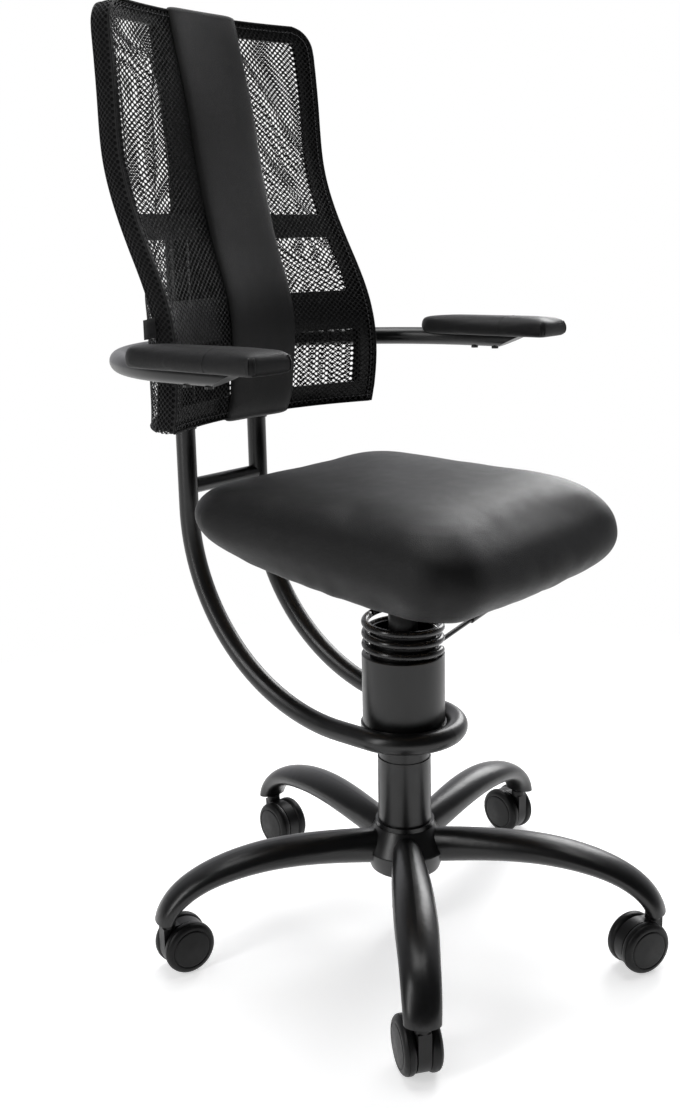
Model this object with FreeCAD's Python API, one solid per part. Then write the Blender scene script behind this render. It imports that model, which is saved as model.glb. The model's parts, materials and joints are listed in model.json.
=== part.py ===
import FreeCAD, Part
import os
from math import atan, cos, pi, radians, sin, sqrt, tan
from FreeCAD import Vector as V

# Balance chair: a seat on a coil spring that tips every way, on a gas column
# and a five-arm base, with a bent tube that carries the mesh back and armrests.
# Millimetres. Origin on the floor under the column, +Z up, the sitter faces -Y.

# clearances
SLIDE_GAP = 0.05      # radial gap of shafts that turn or slide
SEAT_GAP = 0.3        # gap of pieces that rest on or lie against each other
STRIP_GAP = 0.8       # gap of the leather strip over the mesh

# casters
STEM_CIRCLE_R = 300.0
FIRST_ARM_DEG = 4.23
ARM_COUNT = 5
ARM_PITCH_DEG = 360.0 / ARM_COUNT
TRAIL_DEG = (78.9, 259.6, 342.2, 54.0, 154.5)
CASTER_TRAIL = 20.0
WHEEL_R = 31.0
WHEEL_WIDTH = 14.0
WHEEL_CHAMFER = 3.5
WHEEL_CAP_R = 23.0
WHEEL_CAP_STEP = 0.8
TREAD_ROUND = 2.0
FORK_WIDTH = 14.4
FORK_GAP = 0.4
FENDER_R = 29.0
AXLE_R = 3.0
STEM_R = 5.5
STEM_TOP_Z = 83.0
STEM_BOTTOM_Z = 44.5
NECK_R = 9.0
NECK_BOTTOM_Z = 58.0
NECK_TOP_Z = 65.5

# base arms near the hub: radius, height of the middle, tube height, tube width
ARM_ROOT = (
    (30.0, 114.5, 43.0, 33.0),
    (60.0, 118.5, 42.0, 37.0),
    (95.0, 123.0, 39.0, 42.0),
    (135.0, 126.5, 36.0, 46.0),
)
# base arms over the casters: distance past the stem, then as above
ARM_BEND = (
    (-120.0, 126.5, 33.0, 48.0),
    (-78.0, 121.0, 29.5, 48.0),
    (-44.0, 111.0, 27.0, 45.0),
    (-18.0, 96.5, 25.0, 43.0),
    (-2.0, 79.5, 23.0, 41.0),
    (5.0, 59.5, 22.0, 39.0),
)
ARM_WALL = 2.2
ARM_END_Z = 67.5
SOCKET_BOTTOM_Z = 69.5
SOCKET_TOP_Z = 96.5
SOCKET_REACH = 40.0

# hub and column
HUB_BOTTOM_Z = 85.5
HUB_BOTTOM_R = 43.0
HUB_SEAM_Z = 111.5
HUB_R = 52.0
HUB_WAIST_R = 43.0
HUB_WAIST_Z = 129.5
HUB_SEAM_DEPTH = 0.8
HUB_SEAM_HEIGHT = 1.6
HUB_TOP_R = 36.5
HUB_TOP_Z = 140.5
COLLAR_HEIGHT = 5.5
COLLAR_R = 36.0
TUBE_R = 25.0
TUBE_WALL = 4.0
TUBE_TOP_Z = 221.5
TAIL_R = 17.0
TAIL_TOP_Z = 79.5
TAIL_BOTTOM_Z = 23.5
TAIL_FLOOR = 6.0
SLEEVE_R = 32.5
SLEEVE_WALL = 1.0
SLEEVE_TOP_Z = 228.5
INNER_SLEEVE_GAP = 0.35
INNER_SLEEVE_WALL = 1.1
INNER_SLEEVE_BOTTOM_Z = 168.5
BUSH_HEIGHT = 40.0
BEARING_R = 11.0
BEARING_HEIGHT = 4.0
ROD_R = 5.0
ROD_FLANGE_R = 11.5
ROD_FLANGE_HEIGHT = 4.0
ROD_TOP_Z = 247.5
PISTON_HEIGHT = 8.0
CYLINDER_R = 14.0
CYLINDER_WALL = 2.5
CYLINDER_BOTTOM_Z = 107.5
CYLINDER_TOP_Z = 329.5
CYLINDER_END = 12.0
BUTTON_R = 4.0
BUTTON_RISE = 8.0
BUTTON_DEPTH = 8.0

# spring cup, back tube loop
CUP_R = 50.0
CUP_WALL = 4.5
CUP_LEDGE = 3.5
CUP_BOTTOM_Z = 253.5
CUP_FLOOR = 10.0
CUP_TOP_Z = 360.5
CUP_BOSS_R = 22.0
CUP_BOSS_HEIGHT = 20.0
CUP_EDGE_ROUND = 3.0
LOOP_R = 65.0
LOOP_Z = 268.5
LOOP_TUBE_R = 12.5
LOOP_WALL = 2.0
WELD_BAND_HEIGHT = 9.0
UPRIGHT_Y = 293.0
UPRIGHT_BEND_R = 246.0
UPRIGHT_TOP_Z = 803.5
CROSSBAR_R = 10.0
CROSSBAR_Z = 540.5

# joint under the seat
PLATE_Z = 350.5
PLATE_THICK = 5.0
JOINT_Z = 370.5
JOINT_PIN_R = 4.0
JOINT_PIN_END = 19.0
CROSS_HALF = 11.0
EAR_THICK = 6.0
EAR_R = 7.5
YOKE_BRIDGE_Z = 381.5
YOKE_BRIDGE_THICK = 6.0
POST_R = 17.5

# release lever
LEVER_R = 3.0
LEVER_PIVOT_X = 30.0
LEVER_RISE_DEG = 9.0
LEVER_INNER_X = -4.0
LEVER_OUTER_X = 178.0
LEVER_PIN_R = 1.5
LEVER_EAR_THICK = 3.0
LEVER_EAR_HALF = 4.5
LEVER_SLOT_HALF = 5.5
LEVER_SLOT_BOTTOM_Z = 341.5
LEVER_KNOB_R = 5.0
LEVER_KNOB_LENGTH = 34.0

# spring
SPRING_R = 45.5
WIRE_R = 4.5
SPRING_START_DEG = 301.0
SPRING_TURNS = 3.25
SPRING_PITCH = 13.6
SPRING_OPEN_FROM = 2.4
SPRING_OPEN_RISE = 30.0
QUARTERS_PER_TURN = 4
GUIDE_GAP = 1.0
GUIDE_WALL = 2.5
GUIDE_TOP_Z = 389.5

# seat
HUB_FLANGE_R = 50.0
HUB_FLANGE_THICK = 4.0
HUB_BOSS_R = 30.0
SEAT_PLATE_Z = 481.5
SEAT_PLATE_THICK = 4.0
SEAT_PLATE_X = 100.0
SEAT_PLATE_Y = 85.0
SEAT_PLATE_CORNER = 12.0
SEAT_PAN_THICK = 12.0
SEAT_PAN_X = 135.0
SEAT_PAN_Y = 135.0
SEAT_PAN_CORNER = 60.0
PAN_POCKET_DEPTH = 60.0
SEAT_BOLT_X = 80.0
SEAT_BOLT_Y = 65.0
SEAT_BOLT_R = 4.0
SEAT_BOLT_HEAD_R = 7.0
SEAT_BOLT_HEAD = 4.0
SEAT_BOLT_LENGTH = 14.0
SEAT_HALF_X = 192.0
SEAT_FRONT_Y = -204.0
SEAT_REAR_Y = 195.0
SEAT_CORNER_R = 60.0
# cushion outline steps: height in the middle, drawn in by, tipped forward by degrees
SEAT_STEPS = (
    (471.5, 46.0, 7.0),
    (476.5, 31.0, 7.0),
    (487.5, 15.0, 6.3),
    (505.5, 4.0, 5.2),
    (523.5, 0.0, 4.1),
    (541.5, 4.0, 3.0),
    (555.5, 16.0, 2.2),
    (566.0, 42.0, 1.5),
    (572.0, 88.0, 1.2),
    (575.0, 150.0, 1.0),
)
SEAT_LEAST_CORNER = 30.0

# back cover: height, half width, edge front, hollow in the middle, rear middle
BACK_SECTIONS = (
    (632.5, 180.0, 187.0, 45.0, 327.0),
    (678.5, 180.0, 179.0, 41.0, 328.0),
    (724.5, 179.0, 178.0, 37.0, 328.0),
    (778.5, 177.5, 190.0, 30.0, 326.0),
    (834.5, 177.0, 217.0, 21.0, 322.0),
    (888.5, 176.0, 243.0, 9.0, 318.0),
    (940.5, 175.0, 259.0, 4.0, 319.0),
    (1003.5, 173.5, 264.0, 10.0, 326.0),
    (1063.5, 172.0, 268.0, 21.0, 335.0),
    (1083.5, 171.4, 269.8, 24.3, 338.0),
    (1115.5, 171.0, 273.0, 29.0, 342.0),
)
BACK_TOP_CORNER_R = 32.0
MESH_THICK = 1.6
BACK_EDGE_DEPTH = 28.0
RIM_BEHIND = 9.0
RIM_THICK = 5.0
RIM_INSET = 3.0
RIM_SIDE = 11.0
RIM_WINDOWS = ((658.5, 729.5), (779.5, 848.5), (878.5, 1097.0))
STRIP_HALF = 57.0
STRIP_THICK = 2.0
TAG_LOW_Z = 741.5
TAG_HEIGHT = 22.0
TAG_LENGTH = 20.0
TAG_THICK = 1.2

# back sockets and armrests
SOCKET_WALL = 1.9
SOCKET_LOW_Z = 615.5
SOCKET_HIGH_Z = 865.5
BRACKET_HALF = 9.0
BRACKET_HEIGHT = 22.0
BRACKET_LOW_Z = 748.5
BRACKET_HIGH_Z = 852.5
ARMREST_R = 262.0
ARMREST_STRIP_GAP = 1.0
ARMREST_FRONT_Y = 0.0
ARMREST_BEVEL = 35.0
ARMREST_SUNK = 8.5
ARMREST_TUBE_R = 11.5
ARMREST_WALL = 1.8
LUG_HALF = 8.0
LUG_LENGTH = 22.0
LUG_SLOT_GAP = 1.0
PAD_FRONT_Y = -50.0
PAD_REAR_Y = 158.0
PAD_INNER = 31.0
PAD_OUTER = 33.0
PAD_FRONT_CORNER = 7.0
PAD_REAR_HALF = 24.0
PAD_BOTTOM_Z = 717.5
# armrest pad outline steps: height over the pad's underside, drawn in by
PAD_STEPS = ((0.0, 2.5), (7.0, 0.0), (17.0, 1.0), (22.0, 4.0), (24.0, 10.0))
PAD_SCREW_R = 2.5
PAD_SCREW_HEAD_R = 4.5
PAD_SCREW_HEAD = 2.5
PAD_SCREW_LENGTH = 26.0
PAD_SCREW_Y = (42.0, 74.0)

Z = V(0, 0, 1)
os.makedirs("parts", exist_ok=True)


def save(name, *shapes):
    shape = shapes[0] if len(shapes) == 1 else Part.makeCompound(list(shapes))
    shape.exportStep("parts/%s.step" % name)


def cylinder(r, low, high, x=0.0, y=0.0):
    return Part.makeCylinder(r, high - low, V(x, y, low), Z)


def ring(outer, inner, low, high, x=0.0, y=0.0):
    return cylinder(outer, low, high, x, y).cut(cylinder(inner, low - 1, high + 1, x, y))


def rod_between(a, b, r):
    return Part.makeCylinder(r, (b - a).Length, a, b - a)


def box(x0, x1, y0, y1, z0, z1):
    return Part.makeBox(x1 - x0, y1 - y0, z1 - z0, V(x0, y0, z0))


def turned(profile):
    face = Part.Face(Part.makePolygon([V(r, 0, z) for r, z in profile + profile[:1]]))
    return face.revolve(V(0, 0, 0), Z, 360)


def turn_z(shape, deg):
    out = shape.copy()
    out.rotate(V(0, 0, 0), Z, deg)
    return out


def rounded_outline(x0, x1, y0, y1, r, z):
    """A rectangle with four round corners as one closed wire."""
    s = r * (1 - sqrt(0.5))
    corners = (
        (V(x1 - r, y0, z), V(x1 - s, y0 + s, z), V(x1, y0 + r, z)),
        (V(x1, y1 - r, z), V(x1 - s, y1 - s, z), V(x1 - r, y1, z)),
        (V(x0 + r, y1, z), V(x0 + s, y1 - s, z), V(x0, y1 - r, z)),
        (V(x0, y0 + r, z), V(x0 + s, y0 + s, z), V(x0 + r, y0, z)),
    )
    edges = []
    for i, (a, b, c) in enumerate(corners):
        edges.append(Part.Arc(a, b, c).toShape())
        edges.append(Part.makeLine(c, corners[(i + 1) % 4][0]))
    return Part.Wire(edges)


def rounded_plate(half_x, half_y, r, low, high):
    face = Part.Face(rounded_outline(-half_x, half_x, -half_y, half_y, r, low))
    return face.extrude(V(0, 0, high - low))


def biarc(p0, t0, p1, t1):
    """Two arcs that leave p0 along t0 and reach p1 along t1."""
    v = p1 - p0
    t = t0 + t1
    k = 2 * (1 - t0.dot(t1))
    d = (-v.dot(t) + sqrt(v.dot(t) ** 2 + k * v.dot(v))) / k
    q0 = p0 + t0 * d
    q1 = p1 - t1 * d
    middle = (q0 + q1) * 0.5
    edges = []
    for a, q, b in ((p0, q0, middle), (middle, q1, p1)):
        m = (a + b) * 0.5
        c = (a - m).Length
        h = (q - m).Length
        edges.append(Part.Arc(a, m + (q - m) * (c * tan(atan(h / c) / 2) / h), b).toShape())
    return edges


def tube_along(edges, start, along, r):
    path = Part.Wire(edges)
    profile = Part.Wire(Part.makeCircle(r, start, along))
    shell = Part.BRepOffsetAPI.MakePipeShell(path)
    shell.add(profile)
    shell.build()
    shell.makeSolid()
    return shell.shape()


# casters, one housing, its two pins and two wheels under each arm end
wheel_in = FORK_WIDTH / 2 + FORK_GAP
wheel_out = wheel_in + WHEEL_WIDTH
bore = AXLE_R + SLIDE_GAP
wheel_profile = [
    (bore, wheel_in),
    (WHEEL_R - TREAD_ROUND, wheel_in),
    (WHEEL_R, wheel_in + TREAD_ROUND),
    (WHEEL_R, wheel_out - WHEEL_CHAMFER),
    (WHEEL_R - WHEEL_CHAMFER, wheel_out - WHEEL_CAP_STEP),
    (WHEEL_CAP_R, wheel_out - WHEEL_CAP_STEP),
    (WHEEL_CAP_R - WHEEL_CAP_STEP, wheel_out),
    (bore, wheel_out),
]
wheel_up = turned(wheel_profile)
axle_half = wheel_out - WHEEL_CAP_STEP
names = ("right_rear", "left_rear", "left_side", "front", "right_side")
sockets = []
arms = []

hub = turned([
    (TUBE_R + SLIDE_GAP, HUB_BOTTOM_Z),
    (HUB_BOTTOM_R, HUB_BOTTOM_Z),
    (HUB_R, HUB_SEAM_Z),
    (HUB_R - HUB_SEAM_DEPTH, HUB_SEAM_Z),
    (HUB_R - HUB_SEAM_DEPTH, HUB_SEAM_Z + HUB_SEAM_HEIGHT),
    (HUB_R, HUB_SEAM_Z + HUB_SEAM_HEIGHT),
    (HUB_WAIST_R, HUB_WAIST_Z),
    (HUB_TOP_R, HUB_TOP_Z),
    (TUBE_R + SLIDE_GAP, HUB_TOP_Z),
])


arm_sections = list(ARM_ROOT) + [(STEM_CIRCLE_R + past, z, h, w) for past, z, h, w in ARM_BEND]


def arm_loft(drawn_in):
    """The arm's oval tube along +X, each side drawn in by this much."""
    wires = []
    last = len(arm_sections) - 1
    for i, (r, z, height, width) in enumerate(arm_sections):
        a = arm_sections[max(i - 1, 0)]
        b = arm_sections[min(i + 1, last)]
        along = V(b[0] - a[0], 0, b[1] - a[1])
        along.normalize()
        across = V(0, 1, 0)
        half_w = width / 2 - drawn_in
        half_h = height / 2 - drawn_in
        if half_w >= half_h:
            major, minor, x_dir = half_w, half_h, across
        else:
            major, minor, x_dir = half_h, half_w, along.cross(across)
        oval = Part.Ellipse(V(0, 0, 0), major, minor)
        edge = oval.toShape()
        y_dir = along.cross(x_dir)
        edge.Placement = FreeCAD.Placement(V(r, 0, z), FreeCAD.Rotation(x_dir, y_dir, along, "XYZ"))
        wires.append(Part.Wire(edge))
    return Part.makeLoft(wires, True, False)


below_end = box(0, STEM_CIRCLE_R * 2, -STEM_CIRCLE_R, STEM_CIRCLE_R, -10, ARM_END_Z)
arm_outer = arm_loft(0.0)
arm_inner = arm_loft(ARM_WALL)
arm = arm_outer.cut(arm_inner).cut(below_end).cut(hub).cut(cylinder(TUBE_R + SLIDE_GAP, 0, TUBE_TOP_Z))
arm = max(arm.Solids, key=lambda s: s.Volume)
plug_space = arm_loft(ARM_WALL + SEAT_GAP)
plug_block = box(
    STEM_CIRCLE_R - SOCKET_REACH, STEM_CIRCLE_R + SOCKET_REACH, -SOCKET_REACH, SOCKET_REACH,
    SOCKET_BOTTOM_Z, SOCKET_TOP_Z
)
plug = plug_space.common(plug_block)
plug = plug.cut(cylinder(STEM_R + SLIDE_GAP, SOCKET_BOTTOM_Z - 1, STEM_TOP_Z + SEAT_GAP, STEM_CIRCLE_R, 0))
plug = max(plug.Solids, key=lambda s: s.Volume)

for i, name in enumerate(names):
    arm_deg = FIRST_ARM_DEG + ARM_PITCH_DEG * i
    arms.append(turn_z(arm, arm_deg))
    sockets.append(turn_z(plug, arm_deg))
    sx = STEM_CIRCLE_R * cos(radians(arm_deg))
    sy = STEM_CIRCLE_R * sin(radians(arm_deg))

    def placed(shape):
        out = shape.copy()
        out.rotate(V(0, 0, 0), Z, TRAIL_DEG[i])
        out.translate(V(sx, sy, 0))
        return out

    centre = V(CASTER_TRAIL, 0, WHEEL_R)
    half = FORK_WIDTH / 2
    fender = Part.makeCylinder(FENDER_R, FORK_WIDTH, centre - V(0, half, 0), V(0, 1, 0))
    web = box(-NECK_R, CASTER_TRAIL, -half, half, WHEEL_R, NECK_BOTTOM_Z + 1)
    neck = cylinder(NECK_R, NECK_BOTTOM_Z, NECK_TOP_Z)
    clear_stem = cylinder(STEM_R, STEM_BOTTOM_Z, NECK_TOP_Z + 1)
    clear_axle = Part.makeCylinder(AXLE_R, FORK_WIDTH + 2, centre - V(0, half + 1, 0), V(0, 1, 0))
    housing = fender.fuse(web).fuse(neck).removeSplitter().cut(clear_stem).cut(clear_axle)
    stem = cylinder(STEM_R, STEM_BOTTOM_Z, STEM_TOP_Z)
    axle = Part.makeCylinder(AXLE_R, axle_half * 2, centre - V(0, axle_half, 0), V(0, 1, 0))
    save("caster_%s_housing" % name, placed(housing))
    save("caster_%s_pins" % name, placed(stem), placed(axle))
    for side, turn in (("a", -90), ("b", 90)):
        wheel = wheel_up.copy()
        wheel.rotate(V(0, 0, 0), V(1, 0, 0), turn)
        wheel.translate(centre)
        save("caster_%s_wheel_%s" % (name, side), placed(wheel))

save("base_hub", hub)
save("base_arms", *arms)
save("caster_sockets", *sockets)

# column
tube_inner = TUBE_R - TUBE_WALL
tail_inner = TAIL_R - TUBE_WALL
floor_z = TAIL_BOTTOM_Z + TAIL_FLOOR
column_tube = turned([
    (ROD_R + SLIDE_GAP, TAIL_BOTTOM_Z),
    (TAIL_R, TAIL_BOTTOM_Z),
    (TAIL_R, TAIL_TOP_Z),
    (TUBE_R, TAIL_TOP_Z + TUBE_R - TAIL_R),
    (TUBE_R, TUBE_TOP_Z),
    (tube_inner, TUBE_TOP_Z),
    (tube_inner, TAIL_TOP_Z + TUBE_R - TAIL_R),
    (tail_inner, TAIL_TOP_Z),
    (tail_inner, floor_z),
    (ROD_R + SLIDE_GAP, floor_z),
])
save("column_tube", column_tube)
collar_top = HUB_TOP_Z + SEAT_GAP + COLLAR_HEIGHT
collar_step = HUB_TOP_Z + SEAT_GAP + COLLAR_HEIGHT / 2
save("column_collar", turned([
    (TUBE_R + SEAT_GAP, HUB_TOP_Z + SEAT_GAP),
    (COLLAR_R, HUB_TOP_Z + SEAT_GAP),
    (COLLAR_R, collar_top),
    (SLEEVE_R + SEAT_GAP, collar_top),
    (SLEEVE_R + SEAT_GAP, collar_step),
    (TUBE_R + SEAT_GAP, collar_step),
]))
sleeve_inner = SLEEVE_R - SLEEVE_WALL
save("column_sleeve", ring(SLEEVE_R, sleeve_inner, collar_step + SEAT_GAP, SLEEVE_TOP_Z))
save("guide_bush", ring(tube_inner - SLIDE_GAP, CYLINDER_R + SLIDE_GAP, TUBE_TOP_Z - BUSH_HEIGHT, TUBE_TOP_Z))
bearing_low = floor_z + SLIDE_GAP
save("thrust_bearing", ring(BEARING_R, ROD_R + SLIDE_GAP, bearing_low, bearing_low + BEARING_HEIGHT))

flange_low = bearing_low + BEARING_HEIGHT + SLIDE_GAP
piston_r = CYLINDER_R - CYLINDER_WALL - SLIDE_GAP
save("piston_rod", turned([
    (0, TAIL_BOTTOM_Z),
    (ROD_R, TAIL_BOTTOM_Z),
    (ROD_R, flange_low),
    (ROD_FLANGE_R, flange_low),
    (ROD_FLANGE_R, flange_low + ROD_FLANGE_HEIGHT),
    (ROD_R, flange_low + ROD_FLANGE_HEIGHT),
    (ROD_R, ROD_TOP_Z - PISTON_HEIGHT),
    (piston_r, ROD_TOP_Z - PISTON_HEIGHT),
    (piston_r, ROD_TOP_Z),
    (0, ROD_TOP_Z),
]))
gas_bore = CYLINDER_R - CYLINDER_WALL
gas_cylinder = turned([
    (ROD_R + SLIDE_GAP, CYLINDER_BOTTOM_Z),
    (CYLINDER_R, CYLINDER_BOTTOM_Z),
    (CYLINDER_R, CYLINDER_TOP_Z),
    (BUTTON_R + SLIDE_GAP, CYLINDER_TOP_Z),
    (BUTTON_R + SLIDE_GAP, CYLINDER_TOP_Z - CYLINDER_END),
    (gas_bore, CYLINDER_TOP_Z - CYLINDER_END),
    (gas_bore, CYLINDER_BOTTOM_Z + CYLINDER_END),
    (ROD_R + SLIDE_GAP, CYLINDER_BOTTOM_Z + CYLINDER_END),
])
save("gas_cylinder", gas_cylinder)
button_top = CYLINDER_TOP_Z + BUTTON_RISE
save("release_button", cylinder(BUTTON_R, CYLINDER_TOP_Z - BUTTON_DEPTH, button_top))
inner_sleeve_r = sleeve_inner - INNER_SLEEVE_GAP
save("inner_sleeve", ring(
    inner_sleeve_r, inner_sleeve_r - INNER_SLEEVE_WALL, INNER_SLEEVE_BOTTOM_Z, CUP_BOTTOM_Z - SEAT_GAP
))

# spring cup with a weld band for the back tube and a slot for the lever
cup_inner = CUP_R - CUP_WALL
ledge_inner = cup_inner - CUP_LEDGE
floor_top = CUP_BOTTOM_Z + CUP_FLOOR
weld_r = LOOP_R - LOOP_TUBE_R - SEAT_GAP
weld_low = LOOP_Z - WELD_BAND_HEIGHT / 2
weld_high = LOOP_Z + WELD_BAND_HEIGHT / 2
cup = turned([
    (CYLINDER_R + SLIDE_GAP, CUP_BOTTOM_Z),
    (CUP_R - CUP_EDGE_ROUND, CUP_BOTTOM_Z),
    (CUP_R, CUP_BOTTOM_Z + CUP_EDGE_ROUND),
    (CUP_R, weld_low),
    (weld_r, weld_low),
    (weld_r, weld_high),
    (CUP_R, weld_high),
    (CUP_R, CUP_TOP_Z - 1),
    (CUP_R - 1, CUP_TOP_Z),
    (cup_inner, CUP_TOP_Z),
    (cup_inner, PLATE_Z),
    (ledge_inner, PLATE_Z),
    (ledge_inner, floor_top),
    (CUP_BOSS_R, floor_top),
    (CUP_BOSS_R, floor_top + CUP_BOSS_HEIGHT),
    (CYLINDER_R + SLIDE_GAP, floor_top + CUP_BOSS_HEIGHT),
])
lever_slot = box(0, CUP_R + 5, -LEVER_SLOT_HALF, LEVER_SLOT_HALF, LEVER_SLOT_BOTTOM_Z, CUP_TOP_Z + 1)
save("spring_cup", cup.cut(lever_slot))

# back tube: round the cup, back and up to the back
lean_y = UPRIGHT_Y - UPRIGHT_BEND_R
lean_z = LOOP_Z + UPRIGHT_BEND_R
s45 = sqrt(0.5)
loop_s = LOOP_R * s45


def loop_edges():
    right = [
        Part.makeLine(V(-LOOP_R, UPRIGHT_Y, UPRIGHT_TOP_Z), V(-LOOP_R, UPRIGHT_Y, lean_z)),
        Part.Arc(
            V(-LOOP_R, UPRIGHT_Y, lean_z),
            V(-LOOP_R, lean_y + UPRIGHT_BEND_R * s45, lean_z - UPRIGHT_BEND_R * s45),
            V(-LOOP_R, lean_y, LOOP_Z),
        ).toShape(),
        Part.makeLine(V(-LOOP_R, lean_y, LOOP_Z), V(-LOOP_R, 0, LOOP_Z)),
    ]
    round_cup = [
        Part.Arc(V(-LOOP_R, 0, LOOP_Z), V(-loop_s, -loop_s, LOOP_Z), V(0, -LOOP_R, LOOP_Z)).toShape(),
        Part.Arc(V(0, -LOOP_R, LOOP_Z), V(loop_s, -loop_s, LOOP_Z), V(LOOP_R, 0, LOOP_Z)).toShape(),
    ]
    left = [
        Part.makeLine(V(LOOP_R, 0, LOOP_Z), V(LOOP_R, lean_y, LOOP_Z)),
        Part.Arc(
            V(LOOP_R, lean_y, LOOP_Z),
            V(LOOP_R, lean_y + UPRIGHT_BEND_R * s45, lean_z - UPRIGHT_BEND_R * s45),
            V(LOOP_R, UPRIGHT_Y, lean_z),
        ).toShape(),
        Part.makeLine(V(LOOP_R, UPRIGHT_Y, lean_z), V(LOOP_R, UPRIGHT_Y, UPRIGHT_TOP_Z)),
    ]
    return right + round_cup + left


loop_start = V(-LOOP_R, UPRIGHT_Y, UPRIGHT_TOP_Z)
back_tube = tube_along(loop_edges(), loop_start, V(0, 0, -1), LOOP_TUBE_R)
back_tube = back_tube.cut(tube_along(loop_edges(), loop_start, V(0, 0, -1), LOOP_TUBE_R - LOOP_WALL))
save("back_tube", back_tube)
crossbar = rod_between(V(-LOOP_R, UPRIGHT_Y, CROSSBAR_Z), V(LOOP_R, UPRIGHT_Y, CROSSBAR_Z), CROSSBAR_R)
for side in (-1, 1):
    crossbar = crossbar.cut(cylinder(LOOP_TUBE_R, 0, UPRIGHT_TOP_Z, side * LOOP_R, UPRIGHT_Y))
save("frame_crossbar", crossbar)

# plate on the cup's ledge with the spring's guide, the lower ears and the lever's ears
plate_low = PLATE_Z + SLIDE_GAP
plate_top = plate_low + PLATE_THICK
plate = cylinder(cup_inner - SEAT_GAP, plate_low, plate_top)
slot_x = LEVER_PIVOT_X - LEVER_EAR_HALF - 14
plate = plate.cut(box(slot_x, CUP_R, -LEVER_SLOT_HALF, LEVER_SLOT_HALF, plate_low - 1, plate_top + 1))
guide_r = SPRING_R - WIRE_R - GUIDE_GAP
plate = plate.fuse(ring(guide_r, guide_r - GUIDE_WALL, plate_top - 1, GUIDE_TOP_Z))
ear_in = CROSS_HALF + SEAT_GAP
ear_out = ear_in + EAR_THICK


def ear(y_low, y_high, z_from):
    wall = box(-EAR_R, EAR_R, y_low, y_high, min(z_from, JOINT_Z), max(z_from, JOINT_Z))
    nose = Part.makeCylinder(EAR_R, y_high - y_low, V(0, y_low, JOINT_Z), V(0, 1, 0))
    bore_length = y_high - y_low + 2
    hole = Part.makeCylinder(JOINT_PIN_R + SLIDE_GAP, bore_length, V(0, y_low - 1, JOINT_Z), V(0, 1, 0))
    return wall.fuse(nose).removeSplitter().cut(hole)


lower_ears = ear(ear_in, ear_out, plate_low + 1).fuse(ear(-ear_out, -ear_in, plate_low + 1))
lever_over = LEVER_R / cos(radians(LEVER_RISE_DEG)) + BUTTON_R * tan(radians(LEVER_RISE_DEG))
lever_z = button_top + SEAT_GAP + lever_over
pivot_z = lever_z + LEVER_PIVOT_X * tan(radians(LEVER_RISE_DEG))
lever_ears = []
for side in (-1, 1):
    y_in = LEVER_SLOT_HALF
    y_low = y_in if side > 0 else -y_in - LEVER_EAR_THICK
    tab = box(
        LEVER_PIVOT_X - LEVER_EAR_HALF, LEVER_PIVOT_X + LEVER_EAR_HALF,
        y_low, y_low + LEVER_EAR_THICK, pivot_z - LEVER_EAR_HALF, plate_top
    )
    lever_ears.append(tab)
lever_pin_half = LEVER_SLOT_HALF + LEVER_EAR_THICK
lever_pin_foot = V(LEVER_PIVOT_X, -lever_pin_half, pivot_z)
lever_pin = Part.makeCylinder(LEVER_PIN_R, lever_pin_half * 2, lever_pin_foot, V(0, 1, 0))
joint_plate = plate.fuse(lower_ears).fuse(lever_ears[0]).fuse(lever_ears[1]).removeSplitter().cut(lever_pin)
save("joint_plate", joint_plate)
save("lever_pin", lever_pin)

rise = tan(radians(LEVER_RISE_DEG))


def on_lever(x):
    return V(x, 0, pivot_z + (x - LEVER_PIVOT_X) * rise)


lever = rod_between(on_lever(LEVER_INNER_X), on_lever(LEVER_OUTER_X), LEVER_R)
eye = Part.makeCylinder(LEVER_R + 1.5, LEVER_SLOT_HALF * 2 - SEAT_GAP * 2,
                        V(LEVER_PIVOT_X, -LEVER_SLOT_HALF + SEAT_GAP, pivot_z), V(0, 1, 0))
knob_x = LEVER_OUTER_X - LEVER_KNOB_LENGTH * cos(radians(LEVER_RISE_DEG))
knob = rod_between(on_lever(knob_x), on_lever(LEVER_OUTER_X), LEVER_KNOB_R)
pin_hole = Part.makeCylinder(LEVER_PIN_R + SLIDE_GAP, 40, V(LEVER_PIVOT_X, -20, pivot_z), V(0, 1, 0))
save("release_lever", lever.fuse(eye).fuse(knob).removeSplitter().cut(pin_hole))

# joint cross and the post with its upper ears
block = box(-CROSS_HALF, CROSS_HALF, -CROSS_HALF, CROSS_HALF, JOINT_Z - EAR_R, JOINT_Z + EAR_R)
pin_x = rod_between(V(-JOINT_PIN_END, 0, JOINT_Z), V(JOINT_PIN_END, 0, JOINT_Z), JOINT_PIN_R)
pin_y = rod_between(V(0, -JOINT_PIN_END, JOINT_Z), V(0, JOINT_PIN_END, JOINT_Z), JOINT_PIN_R)
save("joint_cross", block.fuse(pin_x).fuse(pin_y).removeSplitter())
bridge_top = YOKE_BRIDGE_Z + YOKE_BRIDGE_THICK
upper_ears = turn_z(ear(ear_in, ear_out, bridge_top - 1).fuse(ear(-ear_out, -ear_in, bridge_top - 1)), 90)
bridge = box(-ear_out, ear_out, -EAR_R, EAR_R, YOKE_BRIDGE_Z, bridge_top)


# coil spring, wound left-handed from the cup's rim to the seat hub
def spring_z(t):
    opened = max(0.0, t - SPRING_OPEN_FROM)
    return CUP_TOP_Z + SEAT_GAP + WIRE_R + SPRING_PITCH * t + SPRING_OPEN_RISE * opened ** 2


def spring_point(t):
    a = radians(SPRING_START_DEG) - 2 * pi * t
    return V(SPRING_R * cos(a), SPRING_R * sin(a), spring_z(t))


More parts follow.
